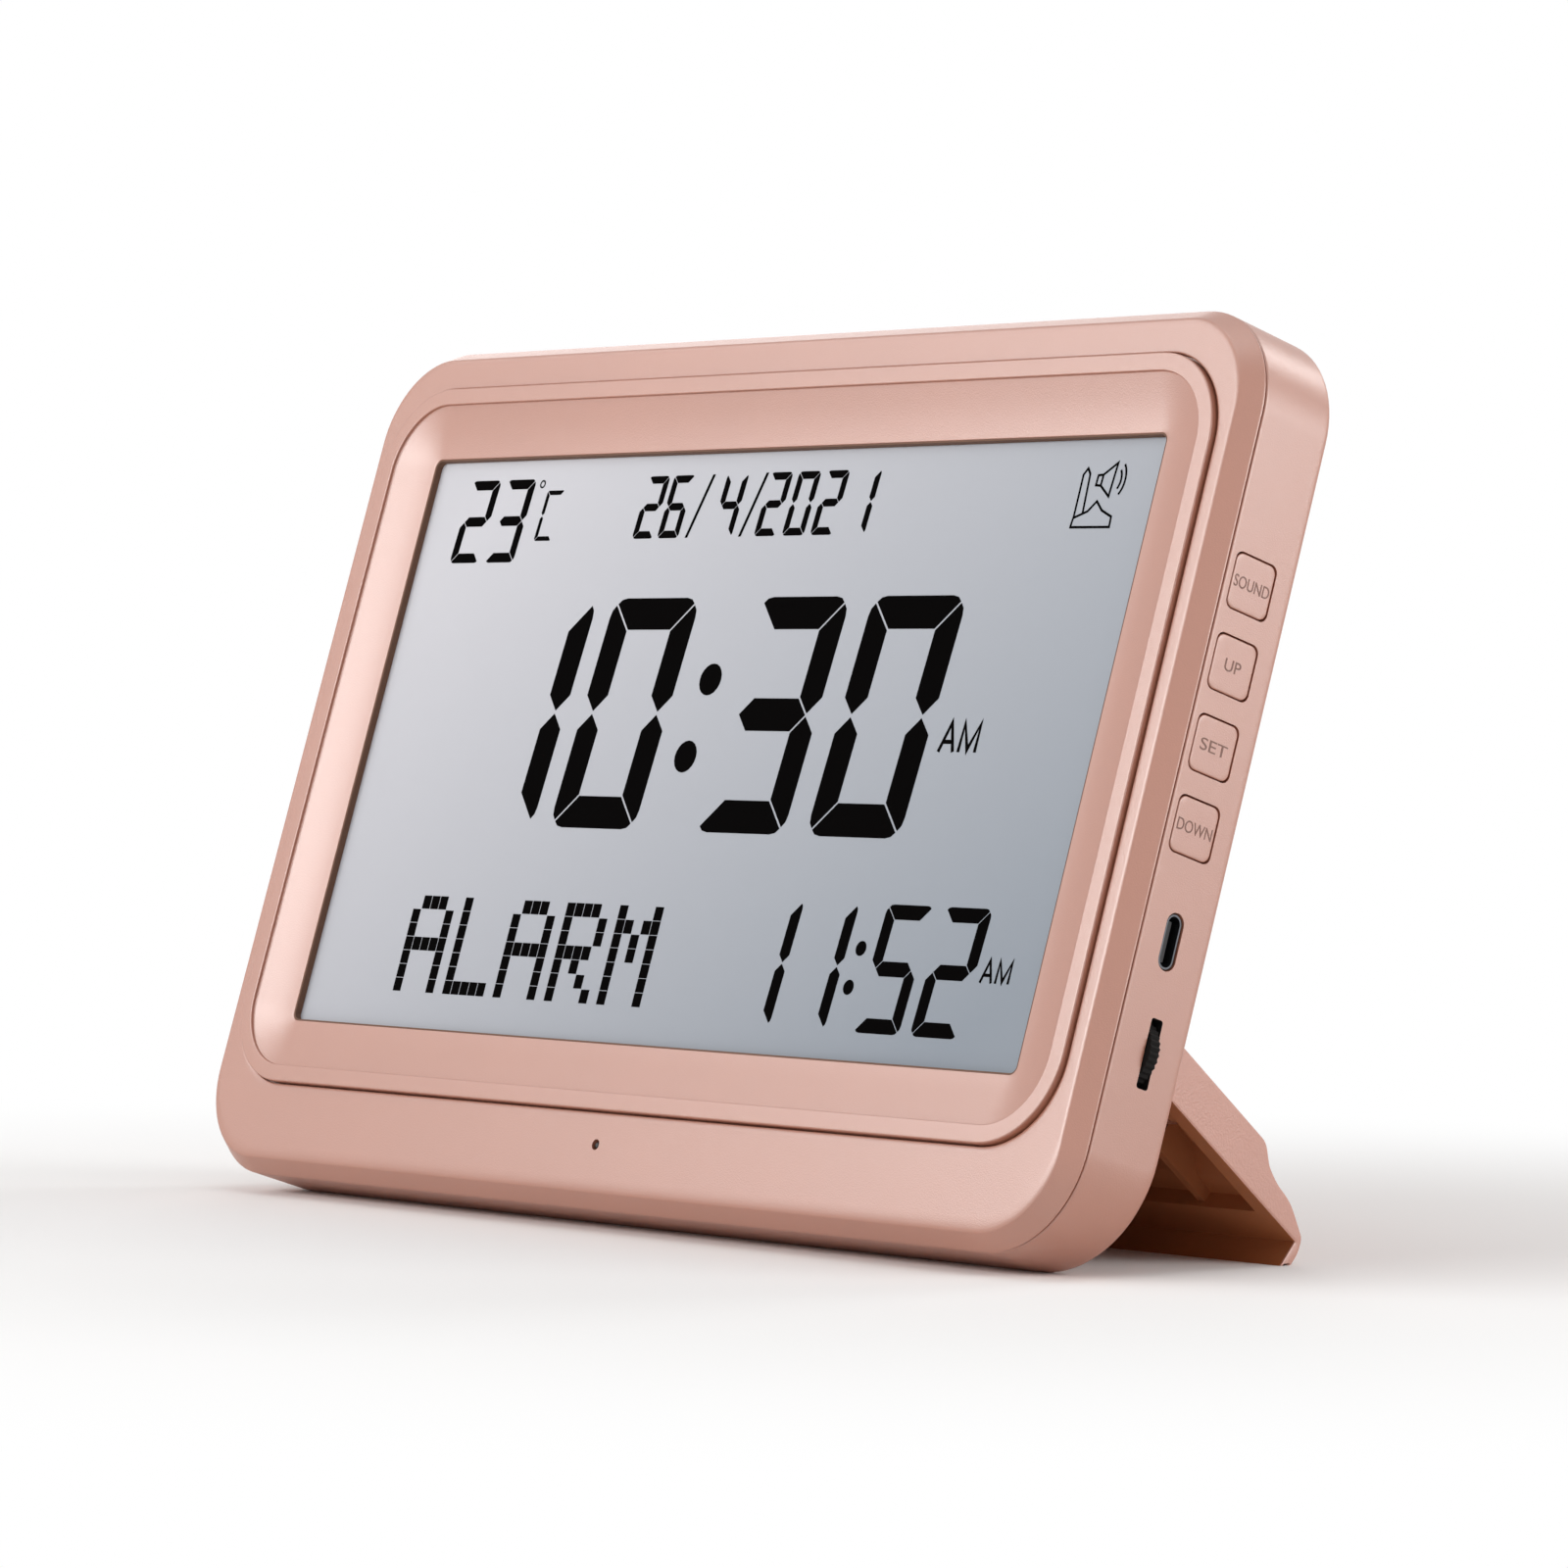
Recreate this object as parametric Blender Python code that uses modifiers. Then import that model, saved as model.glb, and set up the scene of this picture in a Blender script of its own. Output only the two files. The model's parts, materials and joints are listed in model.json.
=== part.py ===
"""Desk clock with a wide calendar display, side buttons and a folding tray stand.

All pieces are placed in the body frame: +X right, +Y to the rear, +Z up the face, with
the origin at the middle of the face's lower edge. An empty leans that frame back until
the rear lower edge and the stand's foot both touch the ground, and moves it so that the
bottom centre of the whole clock lies at the world's origin. Lengths are in metres.
"""

import math
from collections import namedtuple

import bmesh
import bpy
from mathutils import Matrix, Vector

# Body shell
body_width = 0.235
body_height = 0.158
body_depth = 0.0184
body_radius = 0.018
wall = 0.0022
rear_fillet = 0.0025

# Clearances shared by all pieces
fit = 0.0003
overrun = 0.001
seam = 0.0003
weld_distance = 0.000003
sharp_angle = math.radians(35)

# Front cover
chamfer_inset = 0.0025
chamfer_depth = 0.0038
edge_softness = 0.0003
opening_side = 0.0054
opening_top = 0.0082
opening_bottom = 0.0162
opening_radius = 0.016
ledge_width = 0.007
ledge_drop = 0.0016
cover_thickness = 0.0034
lip_thickness = 0.0014
lip_length = 0.0008
sensor_height = 0.0106
sensor_hole = 0.0019
sensor_radius = 0.00074
sensor_dome = 0.0005
sensor_dome_flat = 0.0004
sensor_flange_radius = 0.0023
sensor_flange_thickness = 0.0015

# Bezel ring round the display
bezel_rise = 0.001
bezel_land = 0.0034
bezel_step = 0.0006
cove_width = 0.0093
cove_depth = 0.0019
cove_segments = 5
window_radius = 0.0016
window_wall = 0.0006

# Display stack
panel_margin = 0.0032
panel_thickness = 0.0022
holder_ledge = 0.0006
holder_rim = 0.006
holder_thickness = 0.0033
zebra_width = 0.0025
board_thickness = 0.0016
board_margin = 0.0035
main_board_height = 0.084
chip_side = 0.014
chip_thickness = 0.0016
capacitor_radius = 0.004
capacitor_length = 0.005

# Screws that hold the two shells together
screw_inset = 0.0108
screw_shank_radius = 0.0013
screw_head_radius = 0.0026
screw_head_height = 0.0015
screw_head_flat = 0.0018
screw_head_edge = 0.0009
screw_sink = 0.0006
boss_radius = 0.0032
boss_reach = 0.0063
post_radius = 0.004

# Side buttons, their places taken as shares of the body's height
button_names = ("button_sound", "button_up", "button_set", "button_down")
button_top_share = 0.71456
button_pitch_share = 0.08544
button_centre = 0.01015
button_width = 0.0095
button_height = 0.0096
button_radius = 0.0015
button_gap = 0.00025
button_travel = 0.0008
button_slack = 0.0001
button_flange = 0.0009
button_flange_thickness = 0.0014
button_post_radius = 0.0015
button_post_length = 0.0011
switch_side = 0.006
switch_height = 0.0033
switch_plunger_radius = 0.0017
switch_plunger_height = 0.0004
switch_board_reach = 0.0111
boards_gap = 0.00275

# Power inlet
port_centre = 0.0108
port_height_share = 0.34114
port_long = 0.00894
port_short = 0.0032
port_shell = 0.0003
port_recess = 0.0003
port_floor = 0.0012
tongue_long = 0.0067
tongue_short = 0.0007
tongue_recess = 0.001

# Volume wheel
wheel_centre = 0.0118
wheel_height_share = 0.22627
wheel_radius = 0.006
wheel_proud = 0.0012
wheel_thickness = 0.002
wheel_teeth = 36
wheel_tooth_depth = 0.0003
wheel_slot_long = 0.0115
wheel_slot_short = 0.0025
wheel_slot_radius = 0.0005
pot_side = 0.009
pot_thickness = 0.0014
pot_shaft_radius = 0.0012
volume_board_side = 0.016

# Rear pod that holds the cells and the speaker
pod_half_width = 0.088
pod_bottom = 0.0455
pod_top = 0.126
pod_depth = 0.036
pod_radius = 0.009
pod_wall = 0.002
pod_draft = 0.0008
pod_fillet = 0.0025
plinth_ear_margin = 0.0025
plinth_bottom = 0.0105
plinth_depth = 0.022
plinth_radius = 0.003
plinth_fillet = 0.0012

# Stand and its hinge
hinge_setback = 0.032
hinge_height = 0.0325
stand_opening = math.radians(66.7)
stand_side_gap = 0.0059
stand_side_wall = 0.0024
stand_plate = 0.0018
stand_tail = 0.0108
stand_tail_rim = 0.0013
stand_top = 0.0039
stand_rim = 0.0044
stand_rim_start = 0.007
bend_share = 0.3
scoop_thickness = 0.00144
scoop_start = 0.0142
scoop_floor = 0.0003
scoop_end = 0.0249
scoop_bend = 0.0188
tip_reach = 0.0309
tip_drop = 0.0029
foot_reach = 0.0318
foot_drop = 0.00775
foot_thickness = 0.0019
rib_thickness = 0.0016
rib_place_shares = (-0.8065, -0.4032, 0.0, 0.4032, 0.8065)
rib_start = 0.0075
rib_rim_gap = 0.001
ear_side_gap = 0.0076
ear_thickness = 0.0045
ear_low_angle = math.radians(-110)
ear_radius = 0.0034
ear_stand_gap = 0.0007
ear_base_bottom = 0.0265
knuckle_radius = 0.003
pin_radius = 0.0012
pin_clearance = 0.0003
pin_tail = 0.0006
notch_margin = 0.0005

# Battery bay
bay_offset = -0.044
bay_half_length = 0.0288
bay_half_height = 0.0234
bay_wall = 0.0015
bay_flange = 0.0033
bay_radius = 0.0025
cell_radius = 0.0071
cell_length = 0.0492
cell_pitch = 0.0152
cell_edge = 0.0006
nub_radius = 0.00275
nub_length = 0.0012
contact_thickness = 0.0004
contact_half_height = 0.021
contact_half_depth = 0.006
spring_wire = 0.00035
spring_wide = 0.0045
spring_narrow = 0.003
spring_turns = 3
spring_points = 10
door_thickness = 0.0018
door_half_length = 0.031
door_half_height = 0.0262
door_radius = 0.003
door_grip_radius = 0.006
door_grip_depth = 0.0008
door_grip_inset = 0.0075

# Speaker
speaker_offset = 0.044
speaker_radius = 0.027
speaker_depth = 0.0147
speaker_frame_shares = (
    (0.0, 0.48),
    (0.33, 0.48),
    (0.52, 0.56),
    (0.87, 0.88),
    (0.87, 1.0),
    (1.0, 1.0),
    (1.0, 0.9),
    (0.93, 0.9),
    (0.6, 0.42),
    (0.54, 0.4),
    (0.54, 0.0),
    (0.0, 0.0),
)
speaker_cone_shares = (
    (0.0, 0.72),
    (0.15, 0.69),
    (0.24, 0.61),
    (0.8, 0.9),
    (0.855, 0.97),
    (0.855, 0.93),
    (0.82, 0.88),
    (0.26, 0.56),
    (0.0, 0.51),
)
grille_pitch = 0.0042
grille_slot = 0.002
grille_radius = 0.022

# Counts of straight pieces in round shapes
corner_steps = 7
small_steps = 3
fillet_steps = 4
edge_steps = 5
ear_steps = 14
round_steps = 20
small_round_steps = 16

Outline = namedtuple("Outline", "left right bottom top radius")

# Places worked out from the sizes above
half_width = body_width / 2
rim_depth = chamfer_depth + seam
inner_back = body_depth - wall
glass_depth = -bezel_rise + bezel_step + cove_depth + window_wall + fit
port_height = body_height * port_height_share
wheel_height = body_height * wheel_height_share
button_top_height = body_height * button_top_share
button_pitch = body_height * button_pitch_share
button_heights = [button_top_height - button_pitch * index for index in range(len(button_names))]
switch_board_bottom = wheel_height + volume_board_side / 2 + boards_gap
switch_board_top = button_top_height + switch_board_reach
wall_inside = half_width - wall
button_back = wall_inside - fit - button_flange_thickness - button_post_length
switch_face = button_back - button_travel - button_slack
switch_board_face = switch_face - switch_plunger_height - switch_height - fit
stand_half_width = half_width - stand_side_gap
ear_outer = stand_half_width - ear_side_gap
plinth_half_width = ear_outer + plinth_ear_margin
bay_height = (pod_bottom + pod_top) / 2
rib_places = [stand_half_width * share for share in rib_place_shares]
hinge = Vector((hinge_setback, hinge_height))
stand_along = Vector((math.sin(stand_opening), -math.cos(stand_opening)))
stand_out = Vector((math.cos(stand_opening), math.sin(stand_opening)))

# The ground touches the foot's rear corner and the fillet of the rear lower edge
foot_corner = hinge + stand_along * foot_reach - stand_out * foot_drop
ground_run = foot_corner.x - (body_depth - rear_fillet)
ground_rise = foot_corner.y - rear_fillet
lean = math.atan2(ground_rise, ground_run) + math.asin(rear_fillet / math.hypot(ground_run, ground_rise))

material_values = {
    "rose_shell": ((0.66, 0.40, 0.34), 0.38, 0.55),
    "rose_stand": ((0.48, 0.27, 0.20), 0.45, 0.45),
    "display_grey": ((0.45, 0.48, 0.51), 0.25, 0.0),
    "black_plastic": ((0.02, 0.02, 0.02), 0.5, 0.0),
    "white_plastic": ((0.75, 0.75, 0.72), 0.5, 0.0),
    "board_green": ((0.03, 0.16, 0.07), 0.55, 0.0),
    "steel": ((0.60, 0.60, 0.62), 0.3, 1.0),
    "rubber_grey": ((0.25, 0.25, 0.26), 0.8, 0.0),
    "paper_black": ((0.03, 0.03, 0.03), 0.9, 0.0),
    "cell_jacket": ((0.12, 0.13, 0.30), 0.35, 0.2),
}


def clear_scene():
    """Removes whatever the open file holds."""
    for item in list(bpy.data.objects):
        bpy.data.objects.remove(item, do_unlink=True)


def add_collection(name, hidden=False):
    """A collection under the scene; the cutters' one stays out of renders."""
    collection = bpy.data.collections.new(name)
    bpy.context.scene.collection.children.link(collection)
    collection.hide_render = hidden
    return collection


def add_material(name):
    """A Principled material from the table of values."""
    colour, roughness, metallic = material_values[name]
    material = bpy.data.materials.new(name)
    material.use_nodes = True
    shader = material.node_tree.nodes["Principled BSDF"]
    shader.inputs["Base Color"].default_value = (*colour, 1.0)
    shader.inputs["Roughness"].default_value = roughness
    shader.inputs["Metallic"].default_value = metallic
    return material


clear_scene()
parts = add_collection("desk_clock")
cutters = add_collection("cutters", hidden=True)
materials = {name: add_material(name) for name in material_values}
body_frame = bpy.data.objects.new("body_frame", None)
parts.objects.link(body_frame)


def on_face(across, up, depth):
    """Outline in the face's plane, depth to the rear."""
    return Vector((across, depth, up))


def on_side(across, up, depth):
    """Outline in the side wall's plane, depth to the right."""
    return Vector((depth, across, up))


def in_stand(along, out, depth):
    """Stand's own plane: along from the hinge to the foot, out from the back when folded."""
    return Vector((depth, out, -along))


def new_object(name, data, material, parent):
    """Puts data in the scene; without a material it is a cutter."""
    item = bpy.data.objects.new(name, data)
    item.parent = parent or body_frame
    if material is None:
        cutters.objects.link(item)
        item.hide_render = True
        item.display_type = "WIRE"
    else:
        parts.objects.link(item)
        data.materials.append(materials[material])
    return item


def finish_mesh(name, shape, material=None, parent=None, location=(0, 0, 0)):
    """Turns a bmesh into an object, its mesh local to location."""
    bmesh.ops.recalc_face_normals(shape, faces=shape.faces)
    if shape.calc_volume(signed=True) < 0:
        bmesh.ops.reverse_faces(shape, faces=shape.faces)
    mesh = bpy.data.meshes.new(name)
    shape.to_mesh(mesh)
    shape.free()
    mesh.shade_smooth()
    mesh.set_sharp_from_angle(angle=sharp_angle)
    item = new_object(name, mesh, material, parent)
    item.location = location
    return item


def inset(outline, amount, radius=None):
    """The same outline drawn in by amount, its corners staying concentric."""
    return Outline(
        outline.left + amount,
        outline.right - amount,
        outline.bottom + amount,
        outline.top - amount,
        outline.radius - amount if radius is None else radius,
    )


def centred(half_across, half_up, radius, across=0.0, up=0.0):
    """An outline given by its centre and half sizes."""
    return Outline(across - half_across, across + half_across, up - half_up, up + half_up, radius)


def disc(radius, across=0.0, up=0.0):
    """A round outline with as many points as the others."""
    return centred(radius, radius, radius, across, up)


def outline_points(outline, steps):
    """Points round a rounded rectangle, quarter by quarter."""
    points = []
    for quarter in range(4):
        right = quarter in (0, 3)
        upper = quarter in (0, 1)
        centre_across = outline.right - outline.radius if right else outline.left + outline.radius
        centre_up = outline.top - outline.radius if upper else outline.bottom + outline.radius
        for step in range(steps + 1):
            angle = math.pi / 2 * (quarter + step / steps)
            points.append(
                (
                    centre_across + outline.radius * math.cos(angle),
                    centre_up + outline.radius * math.sin(angle),
                )
            )
    return points


def loft(sections, place, ring=False, steps=corner_steps):
    """Skins outlines at their depths. A ring closes on itself, else both ends are capped."""
    shape = bmesh.new()
    loops = []
    for outline, depth in sections:
        points = outline_points(outline, steps)
        loops.append([shape.verts.new(place(across, up, depth)) for across, up in points])
    pairs = list(zip(loops, loops[1:]))
    if ring:
        pairs.append((loops[-1], loops[0]))
    for first, second in pairs:
        count = len(first)
        for index in range(count):
            after = (index + 1) % count
            shape.faces.new((first[index], first[after], second[after], second[index]))
    if not ring:
        shape.faces.new(loops[0])
        shape.faces.new(loops[-1])
    return shape


def block(low, high):
    """A box between two corners."""
    shape = bmesh.new()
    bmesh.ops.create_cube(shape, size=1.0)
    low, high = Vector(low), Vector(high)
    bmesh.ops.scale(shape, vec=high - low, verts=shape.verts)
    bmesh.ops.translate(shape, vec=(low + high) / 2, verts=shape.verts)
    return shape


def rod(start, end, radius, steps=round_steps):
    """A cylinder between two points."""
    start, end = Vector(start), Vector(end)
    shape = bmesh.new()
    bmesh.ops.create_cone(
        shape,
        cap_ends=True,
        segments=steps,
        radius1=radius,
        radius2=radius,
        depth=(end - start).length,
    )
    turn = (end - start).to_track_quat("Z", "Y").to_matrix().to_4x4()
    bmesh.ops.transform(shape, matrix=Matrix.Translation((start + end) / 2) @ turn, verts=shape.verts)
    return shape


def gather(shapes):
    """Several separate bodies as one mesh, for a cutter."""
    whole = bmesh.new()
    for shape in shapes:
        mesh = bpy.data.meshes.new("piece")
        shape.to_mesh(mesh)
        shape.free()
        whole.from_mesh(mesh)
        bpy.data.meshes.remove(mesh)
    return whole


def plate(loops, start, end, place):
    """A flat outline, holes inside it too, from depth start to depth end."""
    curve = bpy.data.curves.new("outline", "CURVE")
    curve.dimensions = "2D"
    curve.fill_mode = "BOTH"
    curve.extrude = (end - start) / 2
    for loop in loops:
        spline = curve.splines.new("POLY")
        spline.points.add(len(loop) - 1)
        spline.use_cyclic_u = True
        for point, (across, up) in zip(spline.points, loop):
            point.co = (across, up, 0, 1)
    guide = bpy.data.objects.new("outline", curve)
    cutters.objects.link(guide)
    graph = bpy.context.evaluated_depsgraph_get()
    mesh = bpy.data.meshes.new_from_object(guide.evaluated_get(graph))
    bpy.data.objects.remove(guide)
    shape = bmesh.new()
    shape.from_mesh(mesh)
    bpy.data.meshes.remove(mesh)
    bmesh.ops.remove_doubles(shape, verts=shape.verts, dist=weld_distance)
    middle = (start + end) / 2
    for vertex in shape.verts:
        vertex.co = place(vertex.co.x, vertex.co.y, middle + vertex.co.z)
    return shape


def turned(name, profile, material, location, direction, parent=None, steps=round_steps):
    """A profile of radius and height pairs turned round an axis that points in direction."""
    mesh = bpy.data.meshes.new(name)
    points = [(radius, 0, height) for radius, height in profile]
    mesh.from_pydata(points, [(index, index + 1) for index in range(len(points) - 1)], [])
    item = new_object(name, mesh, material, parent)
    item.location = location
    item.rotation_euler = Vector(direction).to_track_quat("Z", "Y").to_euler()
    screw = item.modifiers.new("turn", "SCREW")
    screw.steps = steps
    screw.render_steps = steps
    screw.use_merge_vertices = True
    screw.merge_threshold = weld_distance
    return item


def boolean(target, other, operation):
    """Adds one Boolean step to target."""
    step = target.modifiers.new(other.name, "BOOLEAN")
    step.operation = operation
    step.object = other
    step.solver = "EXACT"


def cut(target, name, shape, parent=None):
    """Removes shape from target."""
    boolean(target, finish_mesh(name, shape, parent=parent), "DIFFERENCE")


def add(target, name, shape, parent=None):
    """Joins shape to target."""
    boolean(target, finish_mesh(name, shape, parent=parent), "UNION")


body_outline = Outline(-half_width, half_width, 0.0, body_height, body_radius)
opening = Outline(
    -half_width + opening_side,
    half_width - opening_side,
    opening_bottom,
    body_height - opening_top,
    opening_radius,
)
ledge_inner = inset(opening, ledge_width)
bezel_outline = inset(opening, seam)
step_outline = inset(opening, bezel_land)
window = inset(opening, bezel_land + cove_width, window_radius)
panel = inset(window, -panel_margin, window_radius)
holder_outer = inset(ledge_inner, -holder_ledge)
holder_inner = inset(panel, holder_rim - holder_ledge, window_radius)


def screw_places():
    """Where the four screws stand on the face, as across and up."""
    across = half_width - screw_inset
    rows = (screw_inset, body_height - screw_inset)
    return [(side * across, row) for row in rows for side in (-1, 1)]


def build_front_cover():
    """Chamfered frame with a rebate for the bezel, a locating lip and four screw bosses."""
    lip_outer = wall + fit
    sections = [
        (body_outline, chamfer_depth),
        (inset(body_outline, edge_softness), chamfer_depth - edge_softness * 2),
        (inset(body_outline, chamfer_inset - edge_softness), edge_softness),
        (inset(body_outline, chamfer_inset + edge_softness), 0.0),
        (inset(opening, -edge_softness), 0.0),
        (opening, edge_softness),
        (opening, ledge_drop),
        (ledge_inner, ledge_drop),
        (ledge_inner, cover_thickness),
        (inset(body_outline, lip_outer + lip_thickness), cover_thickness),
        (inset(body_outline, lip_outer + lip_thickness), chamfer_depth + lip_length),
        (inset(body_outline, lip_outer), chamfer_depth + lip_length),
        (inset(body_outline, lip_outer), chamfer_depth),
    ]
    cover = finish_mesh("front_cover", loft(sections, on_face, ring=True), "rose_shell")
    root = cover_thickness - overrun
    tip = cover_thickness + boss_reach
    bosses = [rod((x, root, z), (x, tip, z), boss_radius) for x, z in screw_places()]
    add(cover, "cover_bosses", gather(bosses))
    bore = screw_shank_radius + fit
    bores = [rod((x, cover_thickness, z), (x, tip + overrun, z), bore) for x, z in screw_places()]
    hole = rod((0, -overrun, sensor_height), (0, cover_thickness + overrun, sensor_height), sensor_hole / 2)
    cut(cover, "cover_holes", gather([*bores, hole]))


def build_light_sensor():
    """Dark domed peg behind the small hole under the display."""
    seat = cover_thickness + fit
    nose = seat - fit
    profile = [
        (0, nose),
        (sensor_dome_flat, nose),
        (sensor_radius, nose - sensor_dome),
        (sensor_radius, 0),
        (sensor_flange_radius, 0),
        (sensor_flange_radius, -sensor_flange_thickness),
        (0, -sensor_flange_thickness),
    ]
    turned("light_sensor", profile, "black_plastic", (0, seat, sensor_height), (0, -1, 0))


def build_bezel():
    """Raised ring with a step and a dished cove that falls to the display window."""
    face = -bezel_rise
    sections = [
        (bezel_outline, ledge_drop - fit),
        (bezel_outline, face + edge_softness),
        (inset(bezel_outline, edge_softness), face),
        (inset(step_outline, -edge_softness), face),
        (step_outline, face + edge_softness),
        (step_outline, face + bezel_step),
    ]
    for step in range(1, cove_segments + 1):
        share = step / cove_segments
        angle = math.pi / 2 * share
        radius = step_outline.radius + (window.radius - step_outline.radius) * share
        drop = cove_depth * (math.sin(angle) + share) / 2
        sections.append((inset(step_outline, cove_width * share, radius), face + bezel_step + drop))
    sections += [
        (window, glass_depth - fit),
        (inset(ledge_inner, fit), glass_depth - fit),
        (inset(ledge_inner, fit), ledge_drop - fit),
    ]
    finish_mesh("bezel_ring", loft(sections, on_face, ring=True), "rose_shell")


def build_display():
    """Glass panel, its holder, the contact strip and the main board with two parts on it."""
    panel_back = glass_depth + panel_thickness
    sections = [(panel, glass_depth), (panel, panel_back)]
    finish_mesh("lcd_panel", loft(sections, on_face, steps=small_steps), "display_grey")
    holder_front = cover_thickness + fit
    seat = panel_back + fit
    back = seat + holder_thickness
    sections = [
        (holder_outer, back),
        (holder_outer, holder_front),
        (inset(panel, -fit, window_radius), holder_front),
        (inset(panel, -fit, window_radius), seat),
        (holder_inner, seat),
        (holder_inner, back),
    ]
    finish_mesh("lcd_holder", loft(sections, on_face, ring=True, steps=small_steps), "white_plastic")
    reach = holder_inner.right - fit - window_radius
    low = (-reach, seat, holder_inner.bottom + fit)
    high = (reach, back, holder_inner.bottom + fit + zebra_width)
    finish_mesh("zebra_strip", block(low, high), "rubber_grey")
    board_front = back + fit
    board_back = board_front + board_thickness
    board_bottom = holder_inner.bottom - board_margin
    low = (-holder_inner.right - board_margin, board_front, board_bottom)
    high = (holder_inner.right + board_margin, board_back, board_bottom + main_board_height)
    finish_mesh("main_board", block(low, high), "board_green")
    top = board_back + fit
    centre = board_bottom + main_board_height / 2
    low = (-chip_side / 2, top, centre - chip_side / 2)
    high = (chip_side / 2, top + chip_thickness, centre + chip_side / 2)
    finish_mesh("clock_chip", block(low, high), "black_plastic")
    across = chip_side + capacitor_radius
    start = (across, top, centre)
    end = (across, top + capacitor_length, centre)
    finish_mesh("capacitor", rod(start, end, capacitor_radius), "steel")


def pod_outline(draw_in=0.0):
    """Outline of the pod at its rear edge."""
    half_up = (pod_top - pod_bottom) / 2
    whole = centred(pod_half_width, half_up, pod_radius, 0.0, pod_bottom + half_up)
    return inset(whole, draw_in)


def raised_shape(outline, start, depth, draft, fillet):
    """A raised block with draft and a filleted rear edge."""
    sections = [(inset(outline, -draft), start)]
    for step in range(fillet_steps + 1):
        angle = math.pi / 2 * step / fillet_steps
        draw_in = fillet * (1 - math.cos(angle))
        sections.append((inset(outline, draw_in), depth - fillet * (1 - math.sin(angle))))
    return loft(sections, on_face)


def ear_outline():
    """Side view of a hinge ear: a knuckle on a tapered arm. Its upper edge lies along the
    opened stand plate, which stops on it."""
    lift = stand_top - stand_plate - ear_stand_gap
    first_angle = math.pi - math.asin(lift / ear_radius)
    base = plinth_depth - overrun
    top_start = hinge + stand_out * lift
    reach = (base - top_start.x) / stand_along.x
    points = [top_start + stand_along * reach]
    for step in range(ear_steps + 1):
        angle = first_angle + (ear_low_angle - first_angle) * step / ear_steps
        direction = stand_along * math.cos(angle) + stand_out * math.sin(angle)
        points.append(hinge + direction * ear_radius)
    points.append(Vector((base, ear_base_bottom)))
    return [tuple(point) for point in points]


def build_rear_housing():
    """Shell with pod, plinth, hinge ears, screw posts, grille and the openings of its side."""
    sections = []
    for step in range(edge_steps, -1, -1):
        angle = math.pi / 2 * step / edge_steps
        draw_in = rear_fillet * (1 - math.cos(angle))
        sections.append((inset(body_outline, draw_in), body_depth - rear_fillet * (1 - math.sin(angle))))
    sections += [
        (body_outline, rim_depth),
        (inset(body_outline, wall), rim_depth),
        (inset(body_outline, wall), inner_back),
    ]
    housing = finish_mesh("rear_housing", loft(sections, on_face), "rose_shell")
    start = body_depth - wall / 2
    add(housing, "pod", raised_shape(pod_outline(), start, pod_depth, pod_draft, pod_fillet))
    half_up = (pod_bottom + pod_draft - plinth_bottom) / 2 - fit
    plinth = centred(plinth_half_width, half_up, plinth_radius, 0.0, plinth_bottom + half_up)
    plinth_start = body_depth - wall / 2 + fit
    add(housing, "plinth", raised_shape(plinth, plinth_start, plinth_depth, fit, plinth_fillet))
    hollow = [(pod_outline(pod_wall), inner_back - overrun), (pod_outline(pod_wall), pod_depth - pod_wall)]
    cut(housing, "pod_hollow", loft(hollow, on_face))
    places = screw_places()
    front = cover_thickness + boss_reach + fit
    posts = [rod((x, front, z), (x, body_depth - wall / 2, z), post_radius) for x, z in places]
    add(housing, "screw_posts", gather(posts))
    sink = body_depth - screw_sink - screw_head_height - fit
    heads = [rod((x, sink, z), (x, body_depth + overrun, z), screw_head_radius + fit) for x, z in places]
    cut(housing, "screw_recesses", gather(heads))
    bore = screw_shank_radius + fit
    bores = [rod((x, front - overrun, z), (x, sink + overrun, z), bore) for x, z in places]
    cut(housing, "screw_bores", gather(bores))
    cut_side_openings(housing)
    door = centred(door_half_length + fit, door_half_height + fit, door_radius, bay_offset, bay_height)
    opening_cut = [(door, pod_depth - pod_wall - overrun), (door, pod_depth + overrun)]
    cut(housing, "door_opening", loft(opening_cut, on_face))
    cut(housing, "grille", gather(grille_slots()))
    inner = ear_outer - ear_thickness
    ears = [
        plate([ear_outline()], inner, ear_outer, on_side),
        plate([ear_outline()], -ear_outer, -inner, on_side),
    ]
    add(housing, "hinge_ears", gather(ears))
    reach = ear_outer + overrun
    start = inner - overrun
    radius = pin_radius + pin_clearance
    bores = [rod((side * start, *hinge), (side * reach, *hinge), radius) for side in (-1, 1)]
    cut(housing, "ear_bores", gather(bores))


def cut_side_openings(housing):
    """Button holes, the power inlet and the wheel slot in the right wall."""
    start = wall_inside - overrun
    end = half_width + overrun
    shapes = []
    for height in button_heights:
        hole = centred(button_width / 2, button_height / 2, button_radius, button_centre, height)
        shapes.append(loft([(hole, start), (hole, end)], on_side, steps=small_steps))
    port = centred(
        port_short / 2 + fit, port_long / 2 + fit, port_short / 2 + fit, port_centre, port_height
    )
    shapes.append(loft([(port, start), (port, end)], on_side))
    slot = centred(
        wheel_slot_short / 2, wheel_slot_long / 2, wheel_slot_radius, wheel_centre, wheel_height
    )
    shapes.append(loft([(slot, start), (slot, end)], on_side, steps=small_steps))
    cut(housing, "side_openings", gather(shapes))


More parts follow.
